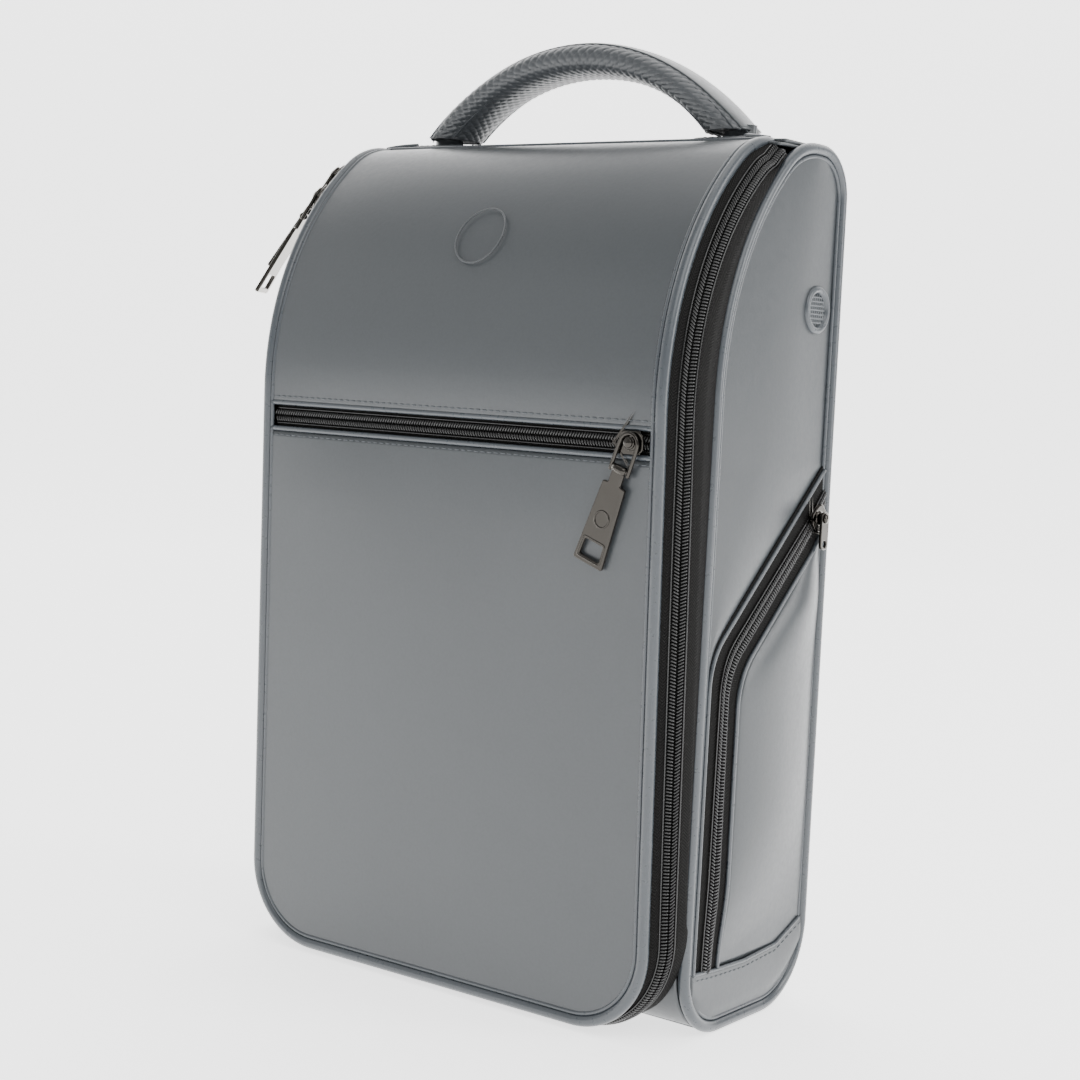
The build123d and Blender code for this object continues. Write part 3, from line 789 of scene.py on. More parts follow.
def makeFrontZip():
    x = np.linspace(-frontZip["half"], frontZip["half"], 160)
    rows = []
    for rise in np.linspace(-frontZip["tapeHalf"], frontZip["tapeHalf"], 9):
        z = np.full_like(x, lid["zipHeight"] + rise)
        rows.append(lidSurface(x, z, frontZip["tapeDepth"] - 0.6 * (1 - abs(rise) / frontZip["tapeHalf"])))
    makeTape("frontTape", rows, "lid", "pocket_zip_tape")
    middle = lidSurface(x, np.full_like(x, lid["zipHeight"]), frontZip["tapeDepth"] - 1.1)
    across = np.tile([0.0, 0.0, 1.0], (len(x), 1))
    normal = np.tile([0.0, -1.0, 0.0], (len(x), 1))
    teeth = chainMesh(middle, across, normal, frontZip)
    addPiece("frontCoil", together(*teeth), "coil", "lid", "zip_coil", "pocket_zip_coil")


makeFrontZip()
print("front zip made")

# Sides
sides = {
    "sheet": bag["gusset"] + 3.0,
    "front": -40.5,
    "bend": 155.0,
    "foot": 27.0,
    "rear": 45.5,
    "climb": 41.5,
    "strip": 20.0,
    "lift": 3.0,  # how far the pocket's edge stands off the gusset
    "bulge": 5.6,
    "round": 30.0,  # of the zip's path at its bend
    "inset": 4.7,  # from the outline to the gusset's sewn edge, under the piping's lip
}
sideZip = {"chainHalf": 3.2, "pitch": 1.35, "toothHalf": 0.46, "toothHeight": 0.7,
           "count": 130, "rails": 13}


def pocketLine(shift):
    # the zip's path on the gusset, moved towards the pocket by shift, rounded at its bend
    slope = tan(radians(sides["climb"]))
    turn = shift * tan(radians(90 - sides["climb"]) / 2)
    y = sides["front"] + shift
    bend = np.array([y, sides["bend"] - turn])
    end = np.array([sides["rear"], bend[1] + (sides["rear"] - y) * slope])
    radius = sides["round"]
    before = bend - [0, radius * 0.42]
    after = bend + (end - bend) / np.linalg.norm(end - bend) * radius * 0.42
    t = np.linspace(0, 1, 20)[:, None]
    curve = before * (1 - t) ** 2 + bend * 2 * t * (1 - t) + after * t**2
    return joined(np.linspace((y, sides["foot"]), before, 60), curve, np.linspace(after, end, 50))


def outlineSpan(inset, z):
    # front and back of the gusset outline at each height
    line = bodyProfile(inset)
    front, back = [], []
    for v in z:
        near = line[:, 1] - v
        cross = np.nonzero(np.sign(near) != np.sign(np.roll(near, -1)))[0]
        following = (cross + 1) % len(line)
        share = near[cross] / (near[cross] - near[following] + 1e-12)
        y = line[cross, 0] + (line[following, 0] - line[cross, 0]) * share
        front.append(y.min())
        back.append(y.max())
    return np.array(front), np.array(back)


def rowSheet(name, low, high, columns, x, side, kind="leather", bulge=None, turned=False):
    # low and high: matched edge points (y, z) for each row; x: distance from the bag's middle
    share = np.linspace(0, 1, columns)
    rows = len(low)
    flat = low[:, None] + (high - low)[:, None] * share[None, :, None]
    lift = np.broadcast_to(x, (rows, columns)).copy()
    if bulge:
        lift = lift + bulge(np.linspace(0, 1, rows)[:, None], share[None, :])
    points = np.concatenate([(side * lift)[:, :, None], flat], 2).reshape(-1, 3)
    faces = gridFaces(rows, columns, turned=(side < 0) != turned)
    piece = makePiece(name, points, faces, finishes[kind], "shell", kind)
    return piece, edgePins(rows, columns)


def makeGusset(sideName, side):
    # the leather above and in front of the pocket's zip
    inset = sides["inset"]
    z = np.r_[np.linspace(27.0, 206, 64), np.linspace(208.5, bag["height"] - inset - 0.05, 62)]
    front, back = outlineSpan(inset, z)
    line = pocketLine(0.6)
    reach = np.minimum(np.interp(z, line[:, 1], line[:, 0], right=1e3), back)
    low = np.stack([front, z], 1)
    high = np.stack([np.maximum(reach, front + 0.2), z], 1)

    def shape(u, v):
        return 1.3 * np.sin(pi * np.clip(v, 0, 1)) ** 0.6 * np.clip(u * 3, 0, 1)

    piece, pins = rowSheet("gusset_" + sideName, low, high, 34, sides["sheet"] - 0.6, side, bulge=shape)
    puff(piece, pins, 1.0, 12, 2.0)
    thicken(piece, 1.6)
    settle(piece, "side_panel_" + sideName)


def makePocketFront(sideName, side):
    line = pocketLine(sides["strip"])
    z = np.linspace(26.5, float(line[-1, 1]), 74)
    front = np.interp(z, line[:, 1], line[:, 0])
    back = np.full_like(z, sides["rear"] + 1.2)
    heel = z < bag["heelRadius"]
    back[heel] = np.minimum(back[heel], outlineSpan(sides["inset"], z[heel])[1])
    low, high = np.stack([front, z], 1), np.stack([np.maximum(back, front + 0.3), z], 1)

    def shape(u, v):
        # proud at the zip, falling to the gusset at the back piping and the foot band
        edge = sides["lift"] * (1 - smoothStep(v * 1.15)) * smoothStep(u * 5.5)
        swell = sides["bulge"] * np.sin(pi * np.clip(v, 0, 1)) ** 0.75
        return edge + swell * smoothStep(u * 2.6) * smoothStep((1 - u) * 5.0)

    piece, pins = rowSheet("pocketFront_" + sideName, low, high, 34, sides["sheet"] + 0.3, side,
                           bulge=shape)
    puff(piece, pins, 2.4, 16, 2.0, 18.0)
    thicken(piece, 1.8)
    settle(piece, "side_pocket_" + sideName)


def makeSideZip(sideName, side):
    rows = []
    u = np.linspace(0, 1, sideZip["count"])
    for shift in np.linspace(-0.8, sides["strip"] + 0.8, sideZip["rails"]):
        line = resampled(pocketLine(shift), sideZip["count"])
        across = np.clip(shift / sides["strip"], 0, 1)
        lift = sides["lift"] * across * smoothStep(u * 5.5) * smoothStep((1 - u) * 8 + 0.3)
        rows.append(np.c_[side * (sides["sheet"] + 0.15 + lift - 0.5 * (across > 0.95)), line])
    makeTape("sideTape_" + sideName, rows, "shell", "side_zip_tape_" + sideName)
    middle = rows[6] + [side * 0.9, 0, 0]
    across = unitRows(rows[8] - rows[4])
    normal = np.cross(pathFrames(middle)[0], across)
    normal *= np.sign(normal[:, :1] * side)
    teeth = chainMesh(middle, across, normal, sideZip)
    addPiece("sideCoil_" + sideName, together(*teeth), "coil", "shell", "zip_coil",
             "side_zip_coil_" + sideName)
    # the turned edge of the leather on each side of the strip
    edges = [tubeMesh(resampled(row, 110) + [side * away * 0.7, 0, 0], 0.95, 8)
             for row, away in ((rows[1], 0.9), (rows[-2], 1.2))]
    addPiece("sideZipEdges_" + sideName, together(*edges), "piping", "shell", "leather")


# (y, z) of the seam over the foot band, from the toe to the heel
footSeam = [(-51.0, 25.5), (-37.5, 26.0), (-24.5, 25.0), (-0.5, 24.2), (25.5, 26.0), (46.5, 34.5)]


def makeFootBand(sideName, side):
    seam = np.array(footSeam)
    y = np.linspace(bag["front"] + 5.2, 46.4, 64)
    top = np.interp(y, seam[:, 0], seam[:, 1]) + 1.6
    line = bodyProfile(sides["inset"])
    low = line[line[:, 1] < 40]
    near = [np.abs(low[:, 0] - v) < 2.2 for v in y]
    bottom = np.array([low[n, 1].min() if n.any() else 12.0 for n in near])
    bottom = np.convolve(np.r_[[bottom[0]] * 2, bottom, [bottom[-1]] * 2], np.ones(5) / 5, "valid")
    lowEdge, highEdge = np.stack([y, bottom], 1), np.stack([y, np.maximum(top, bottom + 0.5)], 1)

    def shape(u, v):
        return 0.5 + 0.9 * smoothStep(v * 3) + 0.7 * np.sin(pi * v)

    piece, _ = rowSheet("footBand_" + sideName, lowEdge, highEdge, 16, sides["sheet"] - 0.4, side,
                        bulge=shape, turned=True)
    thicken(piece, 1.5)
    settle(piece, "foot_band_" + sideName)
    rowY = np.linspace(bag["front"] + 6.5, 45.0, 60)
    rowZ = np.interp(rowY, seam[:, 0], seam[:, 1]) - 1.2
    rowPath = np.stack([np.full(60, side * (sides["sheet"] + 1.35)), rowY, rowZ], 1)
    stitches = stitchRow(rowPath, np.array([float(side), 0.0, 0.0]))
    roll = rowPath + [0, 0, 2.6]
    roll[:, 0] -= side * 0.5
    addPiece("footStitches_" + sideName, stitches, "thread", "shell", "piping")
    addPiece("footEdge_" + sideName, tubeMesh(roll, 0.85, 8), "piping", "shell", "leather")


vent = {"y": 30.5, "z": 298.0, "radius": 10.3, "hole": 6.9}


def lathe(profile, count=40):
    points = np.array([[r * cos(t), r * sin(t), h] for r, h in profile for t in fullTurn(count)])
    return points, gridFaces(len(profile), count, False, True)


def makeVent(sideName, side):
    # a moulded eyelet with a pierced disc inside it
    r, hole = vent["radius"], vent["hole"]
    ring, faces = lathe([(r, -1.2), (r, 0.2), (r - 0.5, 0.9), (r - 1.4, 1.25), (r - 2.4, 1.1),
                         (hole + 0.5, 0.5), (hole, -0.2), (hole - 0.3, -1.0)])
    ring = ring[:, [2, 0, 1]] * [side, 1, 1] + [side * (sides["sheet"] + 0.9), vent["y"], vent["z"]]
    faces = faces if side > 0 else [f[::-1] for f in faces]
    addPiece("ventRing_" + sideName, (ring, faces), "piping", "shell", "metal", "vent_ring_" + sideName)
    bars = []
    for shift in np.arange(-5.4, 5.5, 1.8):
        reach = sqrt(max(0.1, (hole - 0.1) ** 2 - shift**2))
        for order in ([0, 1, 2], [0, 2, 1]):
            ends = np.array([[0, -reach, shift], [0, reach, shift]])[:, order]
            path = resampled(ends, 8) + [side * (sides["sheet"] + 0.5), vent["y"], vent["z"]]
            bars.append(tubeMesh(path, 0.42, 6))
    disc, faces = lathe([(hole, 0.0), (hole * 0.5, 0.02), (0.05, 0.03)])
    disc = disc[:, [2, 0, 1]] + [side * (sides["sheet"] - 0.3), vent["y"], vent["z"]]
    addPiece("ventDisc_" + sideName, together(*bars, (disc, faces)), "ventMesh", "shell", "vent_mesh",
             "vent_disc_" + sideName)


for sideName, side in bothSides:
    makeGusset(sideName, side)
    makePocketFront(sideName, side)
    makeSideZip(sideName, side)
    makeFootBand(sideName, side)
    makeVent(sideName, side)
print("sides made")


# The band of leather round the bag behind the gussets, in four sewn lengths
band = {"columns": 49, "spread": 0.9, "thick": 1.8, "half": 112.2}


def bandSheet(name, line, halfWidth, node, swell):
    x = crowded(band["columns"], band["spread"]) * halfWidth
    tangent = np.gradient(line, axis=0)
    out = np.stack([tangent[:, 1], -tangent[:, 0]], 1)
    if (out * (line - [0, bag["height"] / 2])).sum() < 0:
        line, out = line[::-1], -out[::-1]
    out = unitRows(out)
    rise = swell * (1 - np.abs(x / halfWidth) ** 3)
    points = np.zeros((len(line), len(x), 3))
    points[:, :, 0] = x[None, :]
    points[:, :, 1:] = line[:, None] + out[:, None] * rise[None, :, None]
    faces = gridFaces(len(line), len(x), turned=True)
    piece = makePiece(name, points.reshape(-1, 3), faces, finishes["leather"], "shell", "leather")
    thicken(piece, band["thick"])
    settle(piece, node)


def makeBand():
    outline = bodyProfile(0.6)
    closed = np.r_[outline, outline[:1]]
    half = band["half"]
    y, z = closed[:, 0], closed[:, 1]
    top = bag["height"]
    isTop = (z > top - bag["napeRadius"]) & (y > bag["hingeY"] + 22)
    topLine = closed[isTop]
    lead = np.linspace((bag["hingeY"] + 1.0, top - 0.6), (bodyCrown[0], top - 0.6), 12)
    topLine = joined(topLine[topLine[:, 1].argsort()], lead[::-1])
    topLine = topLine[np.argsort(np.arctan2(topLine[:, 1] - (top - 60), topLine[:, 0] + 30))]
    bandSheet("topBand", resampled(topLine, 40), half, "top_panel", 0.8)
    backLine = closed[(y > 20) & (z > bag["heelRadius"] - 9) & (z < top - bag["napeRadius"] + 8)]
    bandSheet("backBand", resampled(backLine, 60), half, "back_panel", 2.2)
    baseLine = closed[(z < bag["heelRadius"]) & (y > bag["front"] + bag["toeRadius"] - 9)]
    baseLine = baseLine[np.argsort(np.arctan2(baseLine[:, 1] - 60, baseLine[:, 0]))]
    bandSheet("baseBand", resampled(baseLine, 40), half, "bottom_panel", -0.3)


makeBand()


def makeSill():
    # the upstand of the base in front, which the zip's outer tape is sewn to
    line = bodyProfile(1.0)
    toe = line[(line[:, 1] < 31) & (line[:, 0] < bag["front"] + bag["toeRadius"] - 1)]
    toe = toe[np.argsort(toe[:, 1] - toe[:, 0])]
    bandSheet("frontSill", resampled(toe, 24), bag["gusset"] - 0.4, "front_sill", 0.0)


lining = {"half": 103.0, "low": 34.0, "high": 347.0, "wall": 104.2, "cloth": 0.7, "wallThick": 1.4,
          "lidInset": 9.9}


def makeLinings():
    half, bottom, top = lining["half"], lining["low"], lining["high"]
    z = np.linspace(bottom, top, 60)
    x = np.linspace(-half, half, 41)
    fallX, fallZ = np.sin(pi * (x + half) / (2 * half)), np.sin(pi * (z - bottom) / (top - bottom))
    fall = fallX[None, :] * fallZ[:, None]
    ripple = 0.5 * np.sin(x[None, :] / 23 + z[:, None] / 31) * fall
    points = np.zeros((len(z), len(x), 3))
    points[:, :, 0], points[:, :, 2] = x[None, :], z[:, None]
    points[:, :, 1] = bag["back"] - 6.0 - 1.2 * fall - ripple
    piece = makePiece("rearLining", points.reshape(-1, 3), gridFaces(len(z), len(x)), finishes["lining"],
                      "shell", "lining")
    thicken(piece, lining["cloth"], 1.0)
    settle(piece, "rear_lining")
    z = np.linspace(3.6, bag["height"] - 3.6, 90)
    front, back = outlineSpan(3.2, z)
    low, high = np.stack([front, z], 1), np.stack([back, z], 1)
    for sideName, side in bothSides:
        piece, _ = rowSheet("sideWall_" + sideName, low, high, 26, lining["wall"], side, "lining")
        thicken(piece, lining["wallThick"])
        settle(piece, "side_wall_" + sideName)
    inner = lidProfile(lining["lidInset"], 0.0, bag["lidFoot"] + 6.0)
    piece, _ = makeLidPanel("lidLining", resampled(inner, 90), (9, 8), -0.7, "lining")
    thicken(piece, lining["cloth"])
    settle(piece, "lid_lining")


def makeHingeLeather():
    # the corded seam across the top, and the leather that closes the corners where the zip ends
    x = np.linspace(-104.0, 104.0, 80)
    path = np.stack([x, np.full_like(x, bag["hingeY"]), np.full_like(x, bag["height"] - 0.9)], 1)
    addPiece("hingeWelt", tubeMesh(path, 1.15, 12), "piping", "shell", "piping", "hinge_welt")
    line = lidProfile(2.6, 0.0)[:9]
    line = joined(np.linspace((bag["hingeY"] + 16.0, bag["height"] - 2.6), line[0], 12), line)
    width = np.linspace(100.0, 113.5, 9)
    for sideName, side in bothSides:
        points = np.array([[side * w, y, z - 0.6 * abs(w - 107) / 6] for y, z in line for w in width])
        faces = gridFaces(len(line), len(width), turned=side > 0)
        piece = makePiece("cornerLeather_" + sideName, points, faces, finishes["leather"], "shell",
                          "leather")
        thicken(piece, 1.2, 0.0)
        settle(piece)


makeSill()
makeLinings()
makeHingeLeather()
print("band, linings and hinge made")


# Nodes shown as they are, each with its finish
shownNodes = {"base_board": "board", "back_board": "board", "lid_board": "board", "pocket_lining": "lining",
              "handle_core": "foam"}
for name, key in shownNodes.items():
    node = frame["nodes"][name]
    node.data.materials.clear()
    node.data.materials.append(finishes[key])


# Handle: a padded strap, smooth over the top and pebbled under it
# outer and inner are the radius and the centre's height of the strap's two arcs
handle = {"y": 18.5, "outer": (114.5, 298.5), "inner": (93.3, 306.9), "half": 13.4, "foot": 372.6,
          "steps": 150, "fineSteps": 330, "round": 2.4, "tall": 6.3, "footTall": 3.4, "pitch": 4.2,
          "pebble": 0.5, "footX": 80.7, "tabHalf": (19.5, 13.6), "neckHalf": (7.5, 4.6)}


def handleSection(t):
    # points of the strap's outer and inner arcs; t runs from -1 to 1 between its feet
    arcs = []
    for radius, centre in (handle["outer"], handle["inner"]):
        angle = np.radians(t * degrees(acos((handle["foot"] - centre) / radius)))
        arcs.append(np.stack([radius * np.sin(angle), np.full_like(angle, handle["y"]),
                              centre + radius * np.cos(angle)], 1))
    return arcs


def handleLoop(t, angles, grow=0.0):
    outer, inner = handleSection(t)
    middle, rise = (outer + inner) / 2, (outer - inner) / 2
    tallness = np.linalg.norm(rise, axis=1)
    up = rise / tallness[:, None]
    power = 2 / handle["round"]
    a, b = np.cos(angles), np.sin(angles)
    ring = np.stack([np.sign(a) * np.abs(a) ** power, np.sign(b) * np.abs(b) ** power], 1)
    wide = (handle["half"] + grow) * (1 - 0.12 * smoothStep((np.abs(t) - 0.8) / 0.2))
    tall = np.minimum(tallness, handle["tall"] + handle["footTall"] * np.abs(t) ** 6) + grow
    return (middle[:, None] + up[:, None] * (ring[None, :, 1] * tall[:, None])[:, :, None]
            + np.array([0.0, 1.0, 0.0]) * (ring[None, :, 0] * wide[:, None])[:, :, None])


def makeHandle():
    t = np.linspace(-1, 1, handle["steps"])
    # the smooth cover goes over the top and down the back; the pebbled sleeve is under it and in front
    split = {"front": radians(126), "back": radians(-20)}
    cover = np.linspace(split["back"], split["front"], 34)
    shell = handleLoop(t, cover, 0.25)
    # raised lozenges pressed into the sleeve
    fineT = np.linspace(-1, 1, handle["fineSteps"])
    sleeve = handleLoop(fineT, np.linspace(split["front"], split["back"] + 2 * pi, 74))
    outer, inner = handleSection(fineT)
    middle = (outer + inner) / 2
    along = lengthsAlong(middle)
    girth = lengthsAlong(sleeve[handle["fineSteps"] // 2])
    p = handle["pitch"]
    weave = np.abs(np.sin(pi * (along[:, None] + girth[None, :] * 0.8) / p)
                   * np.sin(pi * (along[:, None] - girth[None, :] * 0.8) / p)) ** 0.7
    outward = unitRows(sleeve - middle[:, None])
    sleeve = sleeve + outward * (weave * handle["pebble"])[:, :, None]
    for name, loops, key, thick, node in (("handleCover", shell, "leather", 1.4, "handle_cover"),
                                          ("handleSleeve", sleeve, "grip", 1.0, "handle_grip")):
        faces = gridFaces(*loops.shape[:2], turned=True)
        piece = makePiece(name, loops.reshape(-1, 3), faces, finishes[key], "handle", key)
        thicken(piece, thick)
        settle(piece, node)
    welts, stitches = [], []
    for edge, row in ((0, 4), (-1, -5)):
        welts.append(tubeMesh(shell[:, edge], 0.85, 8))
        inside = shell[:, row]
        up = unitRows(inside - middle[np.linspace(0, len(middle) - 1, len(shell)).astype(int)])
        stitches.append(stitchRow(inside + up * 0.15, up, 3.2))
    addPiece("handleWelts", together(*welts), "piping", "handle", "piping")
    addPiece("handleStitches", together(*stitches), "thread", "handle", "piping")


def makeHandleFeet():
    # sewn leather patches with a welt from each one to the corner of the lid
    turns = fullTurn(60)
    # rounded square corners for the patch and a plain oval for the fold the strap's end is sewn round
    square = (np.abs(np.cos(turns)) ** 5 + np.abs(np.sin(turns)) ** 5) ** -0.2
    patch = ((1.0, 0.0), (1.0, 0.9), (0.95, 1.35), (0.5, 1.5), (0.02, 1.5))
    fold = ((1.5, 1.4), (1.15, 2.0), (1.0, 3.0), (1.0, 7.5))
    weltEnds = ((90.0, 7.0, 369.6), (98.0, 2.0, 368.8), (105.0, 2.0, 367.6))
    tabs, rows, welts = [], [], []
    for side in (1, -1):
        x, y = side * handle["footX"], handle["y"]
        for half, shape, rings in ((handle["tabHalf"], square, patch), (handle["neckHalf"], 1, fold)):
            loops = [np.stack([x + half[0] * share * shape * np.cos(turns),
                               y + half[1] * share * shape * np.sin(turns),
                               np.full_like(turns, bag["height"] + rise)], 1) for share, rise in rings]
            tabs.append((np.concatenate(loops), gridFaces(len(loops), len(turns), False, True)))
            if rings is patch:
                seam = loops[2] * [0.9, 0.9, 1] + [x * 0.1, y * 0.1, 0.1]
                rows.append(stitchRow(np.r_[seam, seam[:1]], np.array([0.0, 0.0, 1.0])))
        t = np.linspace(0, 1, 24)[:, None]
        first, bend, last = (np.array(p) * [side, 1, 1] for p in weltEnds)
        welts.append(tubeMesh(first * (1 - t) ** 2 + bend * 2 * t * (1 - t) + last * t**2, 1.0, 8))
    addPiece("handleTabs", together(*tabs), "leather", "shell", "leather", "handle_tabs")
    addPiece("tabStitches", together(*rows), "thread", "shell", "piping")
    addPiece("tabWelts", together(*welts), "piping", "shell", "piping")


makeHandle()
makeHandleFeet()
print("handle made")


# Sliders and pulls
def unit(vector):
    vector = np.asarray(vector, float)
    return vector / np.linalg.norm(vector)


def stamped(outlines, thick, bevel, frameMatrix, lift):
    # a flat stamping with rounded edges: the first outline is its edge, the others are holes
    curve = bpy.data.curves.new("stamping", "CURVE")
    curve.dimensions = "2D"
    curve.fill_mode = "BOTH"
    curve.extrude = thick / 2 - bevel
    curve.bevel_depth = bevel
    curve.bevel_resolution = 2
    curve.offset = -bevel
    for outline in outlines:
        spline = curve.splines.new("POLY")
        spline.points.add(len(outline) - 1)
        for point, (x, y) in zip(spline.points, outline):
            point.co = (x, y, 0, 1)
        spline.use_cyclic_u = True
    holder = bpy.data.objects.new("stamping", curve)
    scene.collection.objects.link(holder)
    bpy.context.view_layer.update()
    mesh = bpy.data.meshes.new_from_object(holder.evaluated_get(bpy.context.evaluated_depsgraph_get()))
    points = np.array([v.co for v in mesh.vertices]).reshape(-1, 3)
    faces = [tuple(p.vertices) for p in mesh.polygons]
    bpy.data.objects.remove(holder)
    bpy.data.curves.remove(curve)
    bpy.data.meshes.remove(mesh)
    points = points + [0, 0, lift]
    return placed(points, frameMatrix), faces


def placed(points, frameMatrix):
    origin, x, y, z = frameMatrix
    return origin + points[:, :1] * x + points[:, 1:2] * y + points[:, 2:3] * z


def roundedOutline(corners, radius, steps=5):
    # corner points with each corner rounded by its own radius
    corners = [np.array(c, float) for c in corners]
    radii = [radius] * len(corners) if isinstance(radius, (int, float)) else radius
    outline = []
    for i, corner in enumerate(corners):
        before, after = corners[i - 1], corners[(i + 1) % len(corners)]
        r = radii[i]
        a = corner + unit(before - corner) * r
        b = corner + unit(after - corner) * r
        for t in np.linspace(0, 1, steps):
            outline.append(tuple(a * (1 - t) ** 2 + corner * 2 * t * (1 - t) + b * t**2))
    return outline


def dome(radius, height, frameMatrix, lift):
    profile = [(radius * cos(a), height * sin(a)) for a in np.linspace(0, pi / 2 - 0.05, 8)]
    points, faces = lathe(profile, 20)
    return placed(points + [0, 0, lift], frameMatrix), faces + [capFaces(20, len(points))[1]]


slider = {"length": 11.5, "plate": 1.4, "mainHalf": 5.55, "frontHalf": 4.75, "sideHalf": 4.65,
          "pull": 41.0, "bail": 11.5, "twist": 9.0, "sidePost": 1.3}


def makeSliderBody(name, node, seat, half, chainHalf, body, postRise=0.0):
    # plate over the chain with flanges, a bridge along it, and rails under its edges
    long = slider["length"] / 2
    low = chainHalf + 0.3
    outline = roundedOutline([(-long, -half * 0.72), (-long * 0.35, -half), (long * 0.75, -half),
                              (long, -half * 0.6), (long, half * 0.6), (long * 0.75, half),
                              (-long * 0.35, half), (-long, half * 0.72)], 1.5)
    parts = [stamped([outline], slider["plate"], 0.4, seat, low + slider["plate"] / 2)]
    for sign in (-1, 1):
        rail = roundedOutline([(-3.8, sign * (half - 1.1)), (3.8, sign * (half - 1.1)), (3.8, sign * half),
                               (-3.8, sign * half)], 0.4)
        parts.append(stamped([rail if sign > 0 else rail[::-1]], 1.4, 0.25, seat, low - 0.4))
    top = low + slider["plate"]
    parts.append(dome(3.3, 0.9, seat, top - 0.1))
    post = lathe([(1.1, 0.0), (1.1, 1.6 + postRise), (2.0, 1.75 + postRise), (2.1, 2.1 + postRise),
                  (1.7, 2.5 + postRise), (0.1, 2.7 + postRise)], 20)
    parts.append((placed(post[0] + [0, 0, top], seat), post[1]))
    addPiece(name, together(*parts), "metal", body, "metal", node)


def makeBailPiece(name, node, hang, level, body):
    # an open link: an arch round the post, two legs and a cross bar between them
    reach = slider["bail"]
    corners = np.array([(reach + 1.6, -4.4), (2.5, -4.4), (-1.0, -4.1), (-3.2, -2.4), (-3.9, 0),
                        (-3.2, 2.4), (-1.0, 4.1), (2.5, 4.4), (reach + 1.6, 4.4)])
    arch = resampled(np.c_[corners, np.full(len(corners), level)], 60)
    for _ in range(6):
        arch[1:-1] = (arch[:-2] + arch[1:-1] * 2 + arch[2:]) / 4
    bar = np.array([[reach, -4.2, level], [reach, 4.2, level]])
    turns = fullTurn(24)
    collar = np.stack([2.0 * np.cos(turns), 2.0 * np.sin(turns), np.full_like(turns, level)], 1)
    tie = np.array([[-3.7, 0, level], [-2.2, 0, level]])
    meshes = [tubeMesh(placed(arch, hang), 0.85, 12),
              tubeMesh(placed(resampled(bar, 6), hang), 0.75, 12),
              tubeMesh(placed(collar, hang), 0.7, 10, True),
              tubeMesh(placed(resampled(tie, 4), hang), 0.6, 10)]
    addPiece(name, together(*meshes), "metal", body, "metal", node)


def makePullPiece(name, node, hang, level, body, twist=0.0):
    # a tapered plate with a neck, a raised rim, a plain ring and a window near its tip
    start, length = slider["bail"], slider["pull"]
    if twist:
        # hung a little askew on its bar
        post, ahead, across, out = hang
        turned = across * cos(radians(twist)) + out * sin(radians(twist))
        rise = np.cross(ahead, turned)
        hang = (post + (out - rise) * level, ahead, turned, rise)
    neck, shoulder, tip = 3.1, 5.6, 7.4
    end = start + length
    outline = roundedOutline([(start + 0.6, -neck), (start + 6.2, -neck), (start + 6.6, -shoulder),
                              (end, -tip), (end, tip), (start + 6.6, shoulder), (start + 6.2, neck),
                              (start + 0.6, neck)], [0.8, 0.5, 0.7, 1.1, 1.1, 0.7, 0.5, 0.8])
    window = roundedOutline([(end - 9.4, -4.6), (end - 9.4, 4.6), (end - 2.6, 5.0), (end - 2.6, -5.0)], 0.9)
    plate = stamped([outline, window], 1.8, 0.45, hang, level)
    turns = fullTurn(36)
    pin = np.array([[start, y, level] for y in (-neck, -neck / 3, neck / 3, neck)])
    knuckle = tubeMesh(placed(pin, hang), 1.7, 16)
    ringPath = placed(np.stack([start + 21.5 + 3.4 * np.cos(turns), 3.4 * np.sin(turns),
                                np.full_like(turns, level + 0.9)], 1), hang)
    ring = tubeMesh(ringPath, 0.42, 8, True)
    inner = roundedOutline([(end - 10.4, -5.5), (end - 10.4, 5.5), (end - 1.7, 5.9), (end - 1.7, -5.9)],
                           1.2, 4)
    rimPath = placed(np.array([(x, y, level + 0.85) for x, y in inner]), hang)
    rim = tubeMesh(rimPath, 0.35, 6, True)
    addPiece(name, together(plate, knuckle, ring, rim), "metal", body, "metal", node)


def jointFrames(swingName, liftName=None):
    # seat: the slider's own frame on the chain; hang: the same place with x along the hanging pull
    post = np.array(joints[swingName]["pos_m"]) * 1000.0
    out = unit(joints[swingName]["axis"])
    if liftName:
        bar = np.array(joints[liftName]["pos_m"]) * 1000.0
        level = float((bar - post) @ out)
        ahead = unit(bar - post - out * level)
    else:
        level, ahead = None, np.array([0.0, 0.0, -1.0])
    hang = (post, ahead, np.cross(out, ahead), out)
    return post, out, hang, level


def seatFrame(post, out, along):
    along = unit(along - out * (along @ out))
    return post, along, np.cross(out, along), out


for which in ("upper", "lower"):
    post, out, hang, level = jointFrames(f"main_bail_{which}_swing", f"main_pull_{which}_lift")
    radial = post[1:] - np.array(joints["main_slider_lower_run"]["pos_m"][1:]) * 1000.0
    along = np.array([0.0, -radial[1], radial[0]])
    seat = seatFrame(post, out, along)
    body, bail, pull = f"main_slider_{which}", f"main_bail_{which}", f"main_pull_{which}"
    makeSliderBody(f"mainSlider_{which}", body, seat, slider["mainHalf"], 2.0, body)
    makeBailPiece(f"mainBail_{which}", bail, hang, level, bail)
    makePullPiece(f"mainPull_{which}", pull, hang, level, pull, slider["twist"])

post, out, hang, level = jointFrames("pocket_bail_swing", "pocket_pull_lift")
seat = seatFrame(post, out, np.array([-1.0, 0.0, 0.0]))
makeSliderBody("frontSlider", "pocket_slider", seat, slider["frontHalf"], 1.2, "pocket_slider")
makeBailPiece("frontBail", "pocket_bail", hang, level, "pocket_bail")
makePullPiece("frontPull", "pocket_pull", hang, level, "pocket_pull")


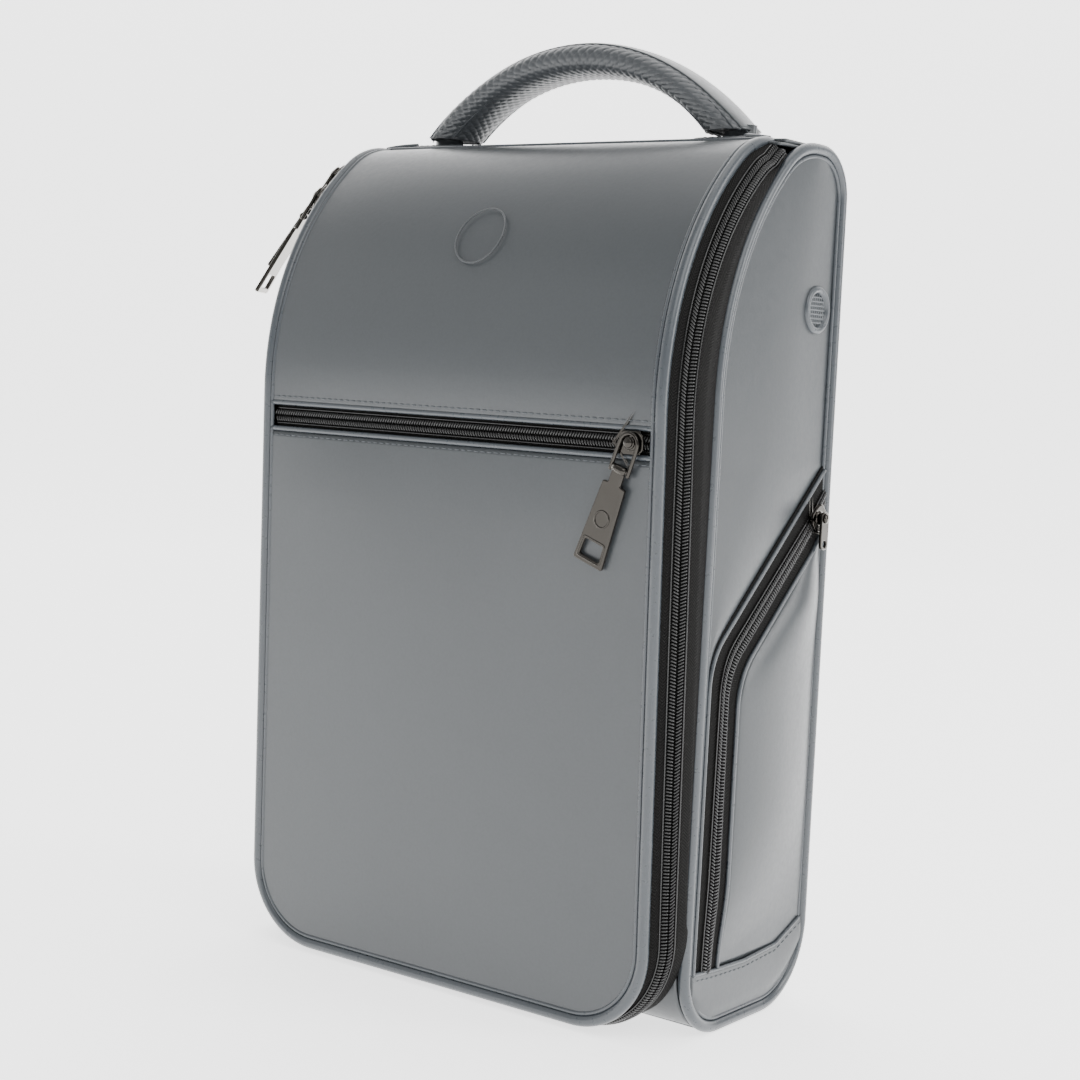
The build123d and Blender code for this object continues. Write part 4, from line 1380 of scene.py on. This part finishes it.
def makeSidePull(sideName, side):
    body = "side_slider_" + sideName
    post = jointFrames(f"side_pull_{sideName}_swing")[0]
    out = np.array([float(side), 0.0, 0.0])
    seat = seatFrame(post, out, np.array(joints[f"side_slider_{sideName}_run"]["axis"]))
    makeSliderBody("sideSlider_" + sideName, body, seat, slider["sideHalf"], 1.1, body, slider["sidePost"])
    hang = (post, np.array([0.0, 0.0, -1.0]), np.cross(out, [0.0, 0.0, -1.0]), out)
    link = roundedOutline([(-2.6, -3.1), (13.4, -3.1), (13.4, 3.1), (-2.6, 3.1)], 2.4)
    hole = [(1.25 * cos(a), 1.25 * sin(a)) for a in fullTurn(18)]
    eye = [(11.0 + 1.5 * cos(a), 1.5 * sin(a)) for a in fullTurn(18)]
    tab = stamped([link, hole, eye], 1.3, 0.3, hang, 1.1 + 0.3 + 1.4 + 0.95 + slider["sidePost"])
    pull = "side_pull_" + sideName
    addPiece("sidePull_" + sideName, tab, "metal", pull, "metal", pull)


makeSidePull("right", 1)
makeSidePull("left", -1)
print("sliders and pulls made")


# Floor, light and camera
def softLight(name, place, target, size, power):
    lamp = bpy.data.lights.new(name, "AREA")
    lamp.shape = "RECTANGLE"
    lamp.size, lamp.size_y = size
    lamp.energy = power
    holder = bpy.data.objects.new(name, lamp)
    scene.collection.objects.link(holder)
    holder.location = place
    holder.rotation_euler = (Vector(target) - Vector(place)).to_track_quat("-Z", "Y").to_euler()


def makeStudio():
    sweepRadius, reach, wide = 1.2, 3.0, 5.0
    turns = np.linspace(-pi / 2, 0, 24)
    line = [(-4.0, 0.0)] + [(reach - sweepRadius + sweepRadius * cos(a), sweepRadius + sweepRadius * sin(a))
                            for a in turns] + [(reach, 5.0)]
    across = np.linspace(-wide, wide, 5)
    yaw = radians(studio["yaw"])
    ahead, right = np.array([-sin(yaw), cos(yaw)]), np.array([cos(yaw), sin(yaw)])
    points = [[*(ahead * d + right * w), h] for d, h in line for w in across]
    mesh = bpy.data.meshes.new("sweep")
    mesh.from_pydata([tuple(p) for p in points], [], gridFaces(len(line), len(across)))
    mesh.polygons.foreach_set("use_smooth", [True] * len(mesh.polygons))
    floor = bpy.data.objects.new("sweep", mesh)
    scene.collection.objects.link(floor)
    material, _, shader = newMaterial("paleSweep")
    setInputs(shader, Base_Color=(*studio["floor"], 1), Roughness=0.95, Specular_IOR_Level=0.1,
              Emission_Color=(1, 1, 1, 1), Emission_Strength=studio["glow"])
    mesh.materials.append(material)
    world = bpy.data.worlds.new("studioAir")
    scene.world = world
    world.use_nodes = True
    backdrop = world.node_tree.nodes["Background"]
    setInputs(backdrop, Color=(*studio["air"], 1), Strength=studio["airStrength"])
    softLight("keyLight", (1.2, -0.9, 1.5), (0, 0, 0.25), (1.2, 1.2), studio["key"])
    softLight("fillLight", (-1.6, -1.4, 0.9), (0, 0, 0.2), (1.4, 1.8), studio["fill"])
    softLight("rimLight", (1.9, 0.7, 0.9), (0.1, 0, 0.2), (0.7, 1.6), studio["rim"])
    softLight("topLight", (0.0, 0.2, 2.0), (0, 0, 0.3), (1.6, 1.6), studio["top"])


studio = {"yaw": 36.59, "floor": (0.90, 0.90, 0.90), "air": (1.0, 1.0, 1.0), "airStrength": 0.8,
          "glow": 1.9, "key": 14.0, "fill": 4.0, "rim": 26.0, "top": 14.0}
makeStudio()

view = {"focal": 2016.0, "imageSize": 1080.0, "middleRow": 432.0, "yaw": 36.59, "pitch": 1.78, "roll": 3.06,
        "place": (0.5347, -0.7259, 0.2667)}


def makeCamera():
    yaw, pitch, roll = (radians(view[k]) for k in ("yaw", "pitch", "roll"))
    ahead = Vector((-sin(yaw) * cos(pitch), cos(yaw) * cos(pitch), -sin(pitch)))
    right = Vector((cos(yaw), sin(yaw), 0))
    up = right.cross(ahead)
    tiltedRight = right * cos(roll) + up * sin(roll)
    tiltedUp = up * cos(roll) - right * sin(roll)
    data = bpy.data.cameras.new("viewCamera")
    data.sensor_width = 36.0
    data.lens = view["focal"] / view["imageSize"] * 36.0
    data.shift_y = (view["middleRow"] - view["imageSize"] / 2) / view["imageSize"]
    data.clip_end = 20.0
    holder = bpy.data.objects.new("viewCamera", data)
    scene.collection.objects.link(holder)
    basis = Matrix((tiltedRight, tiltedUp, -ahead)).transposed().to_4x4()
    holder.matrix_world = Matrix.Translation(view["place"]) @ basis
    scene.camera = holder


makeCamera()
print("studio and camera made")
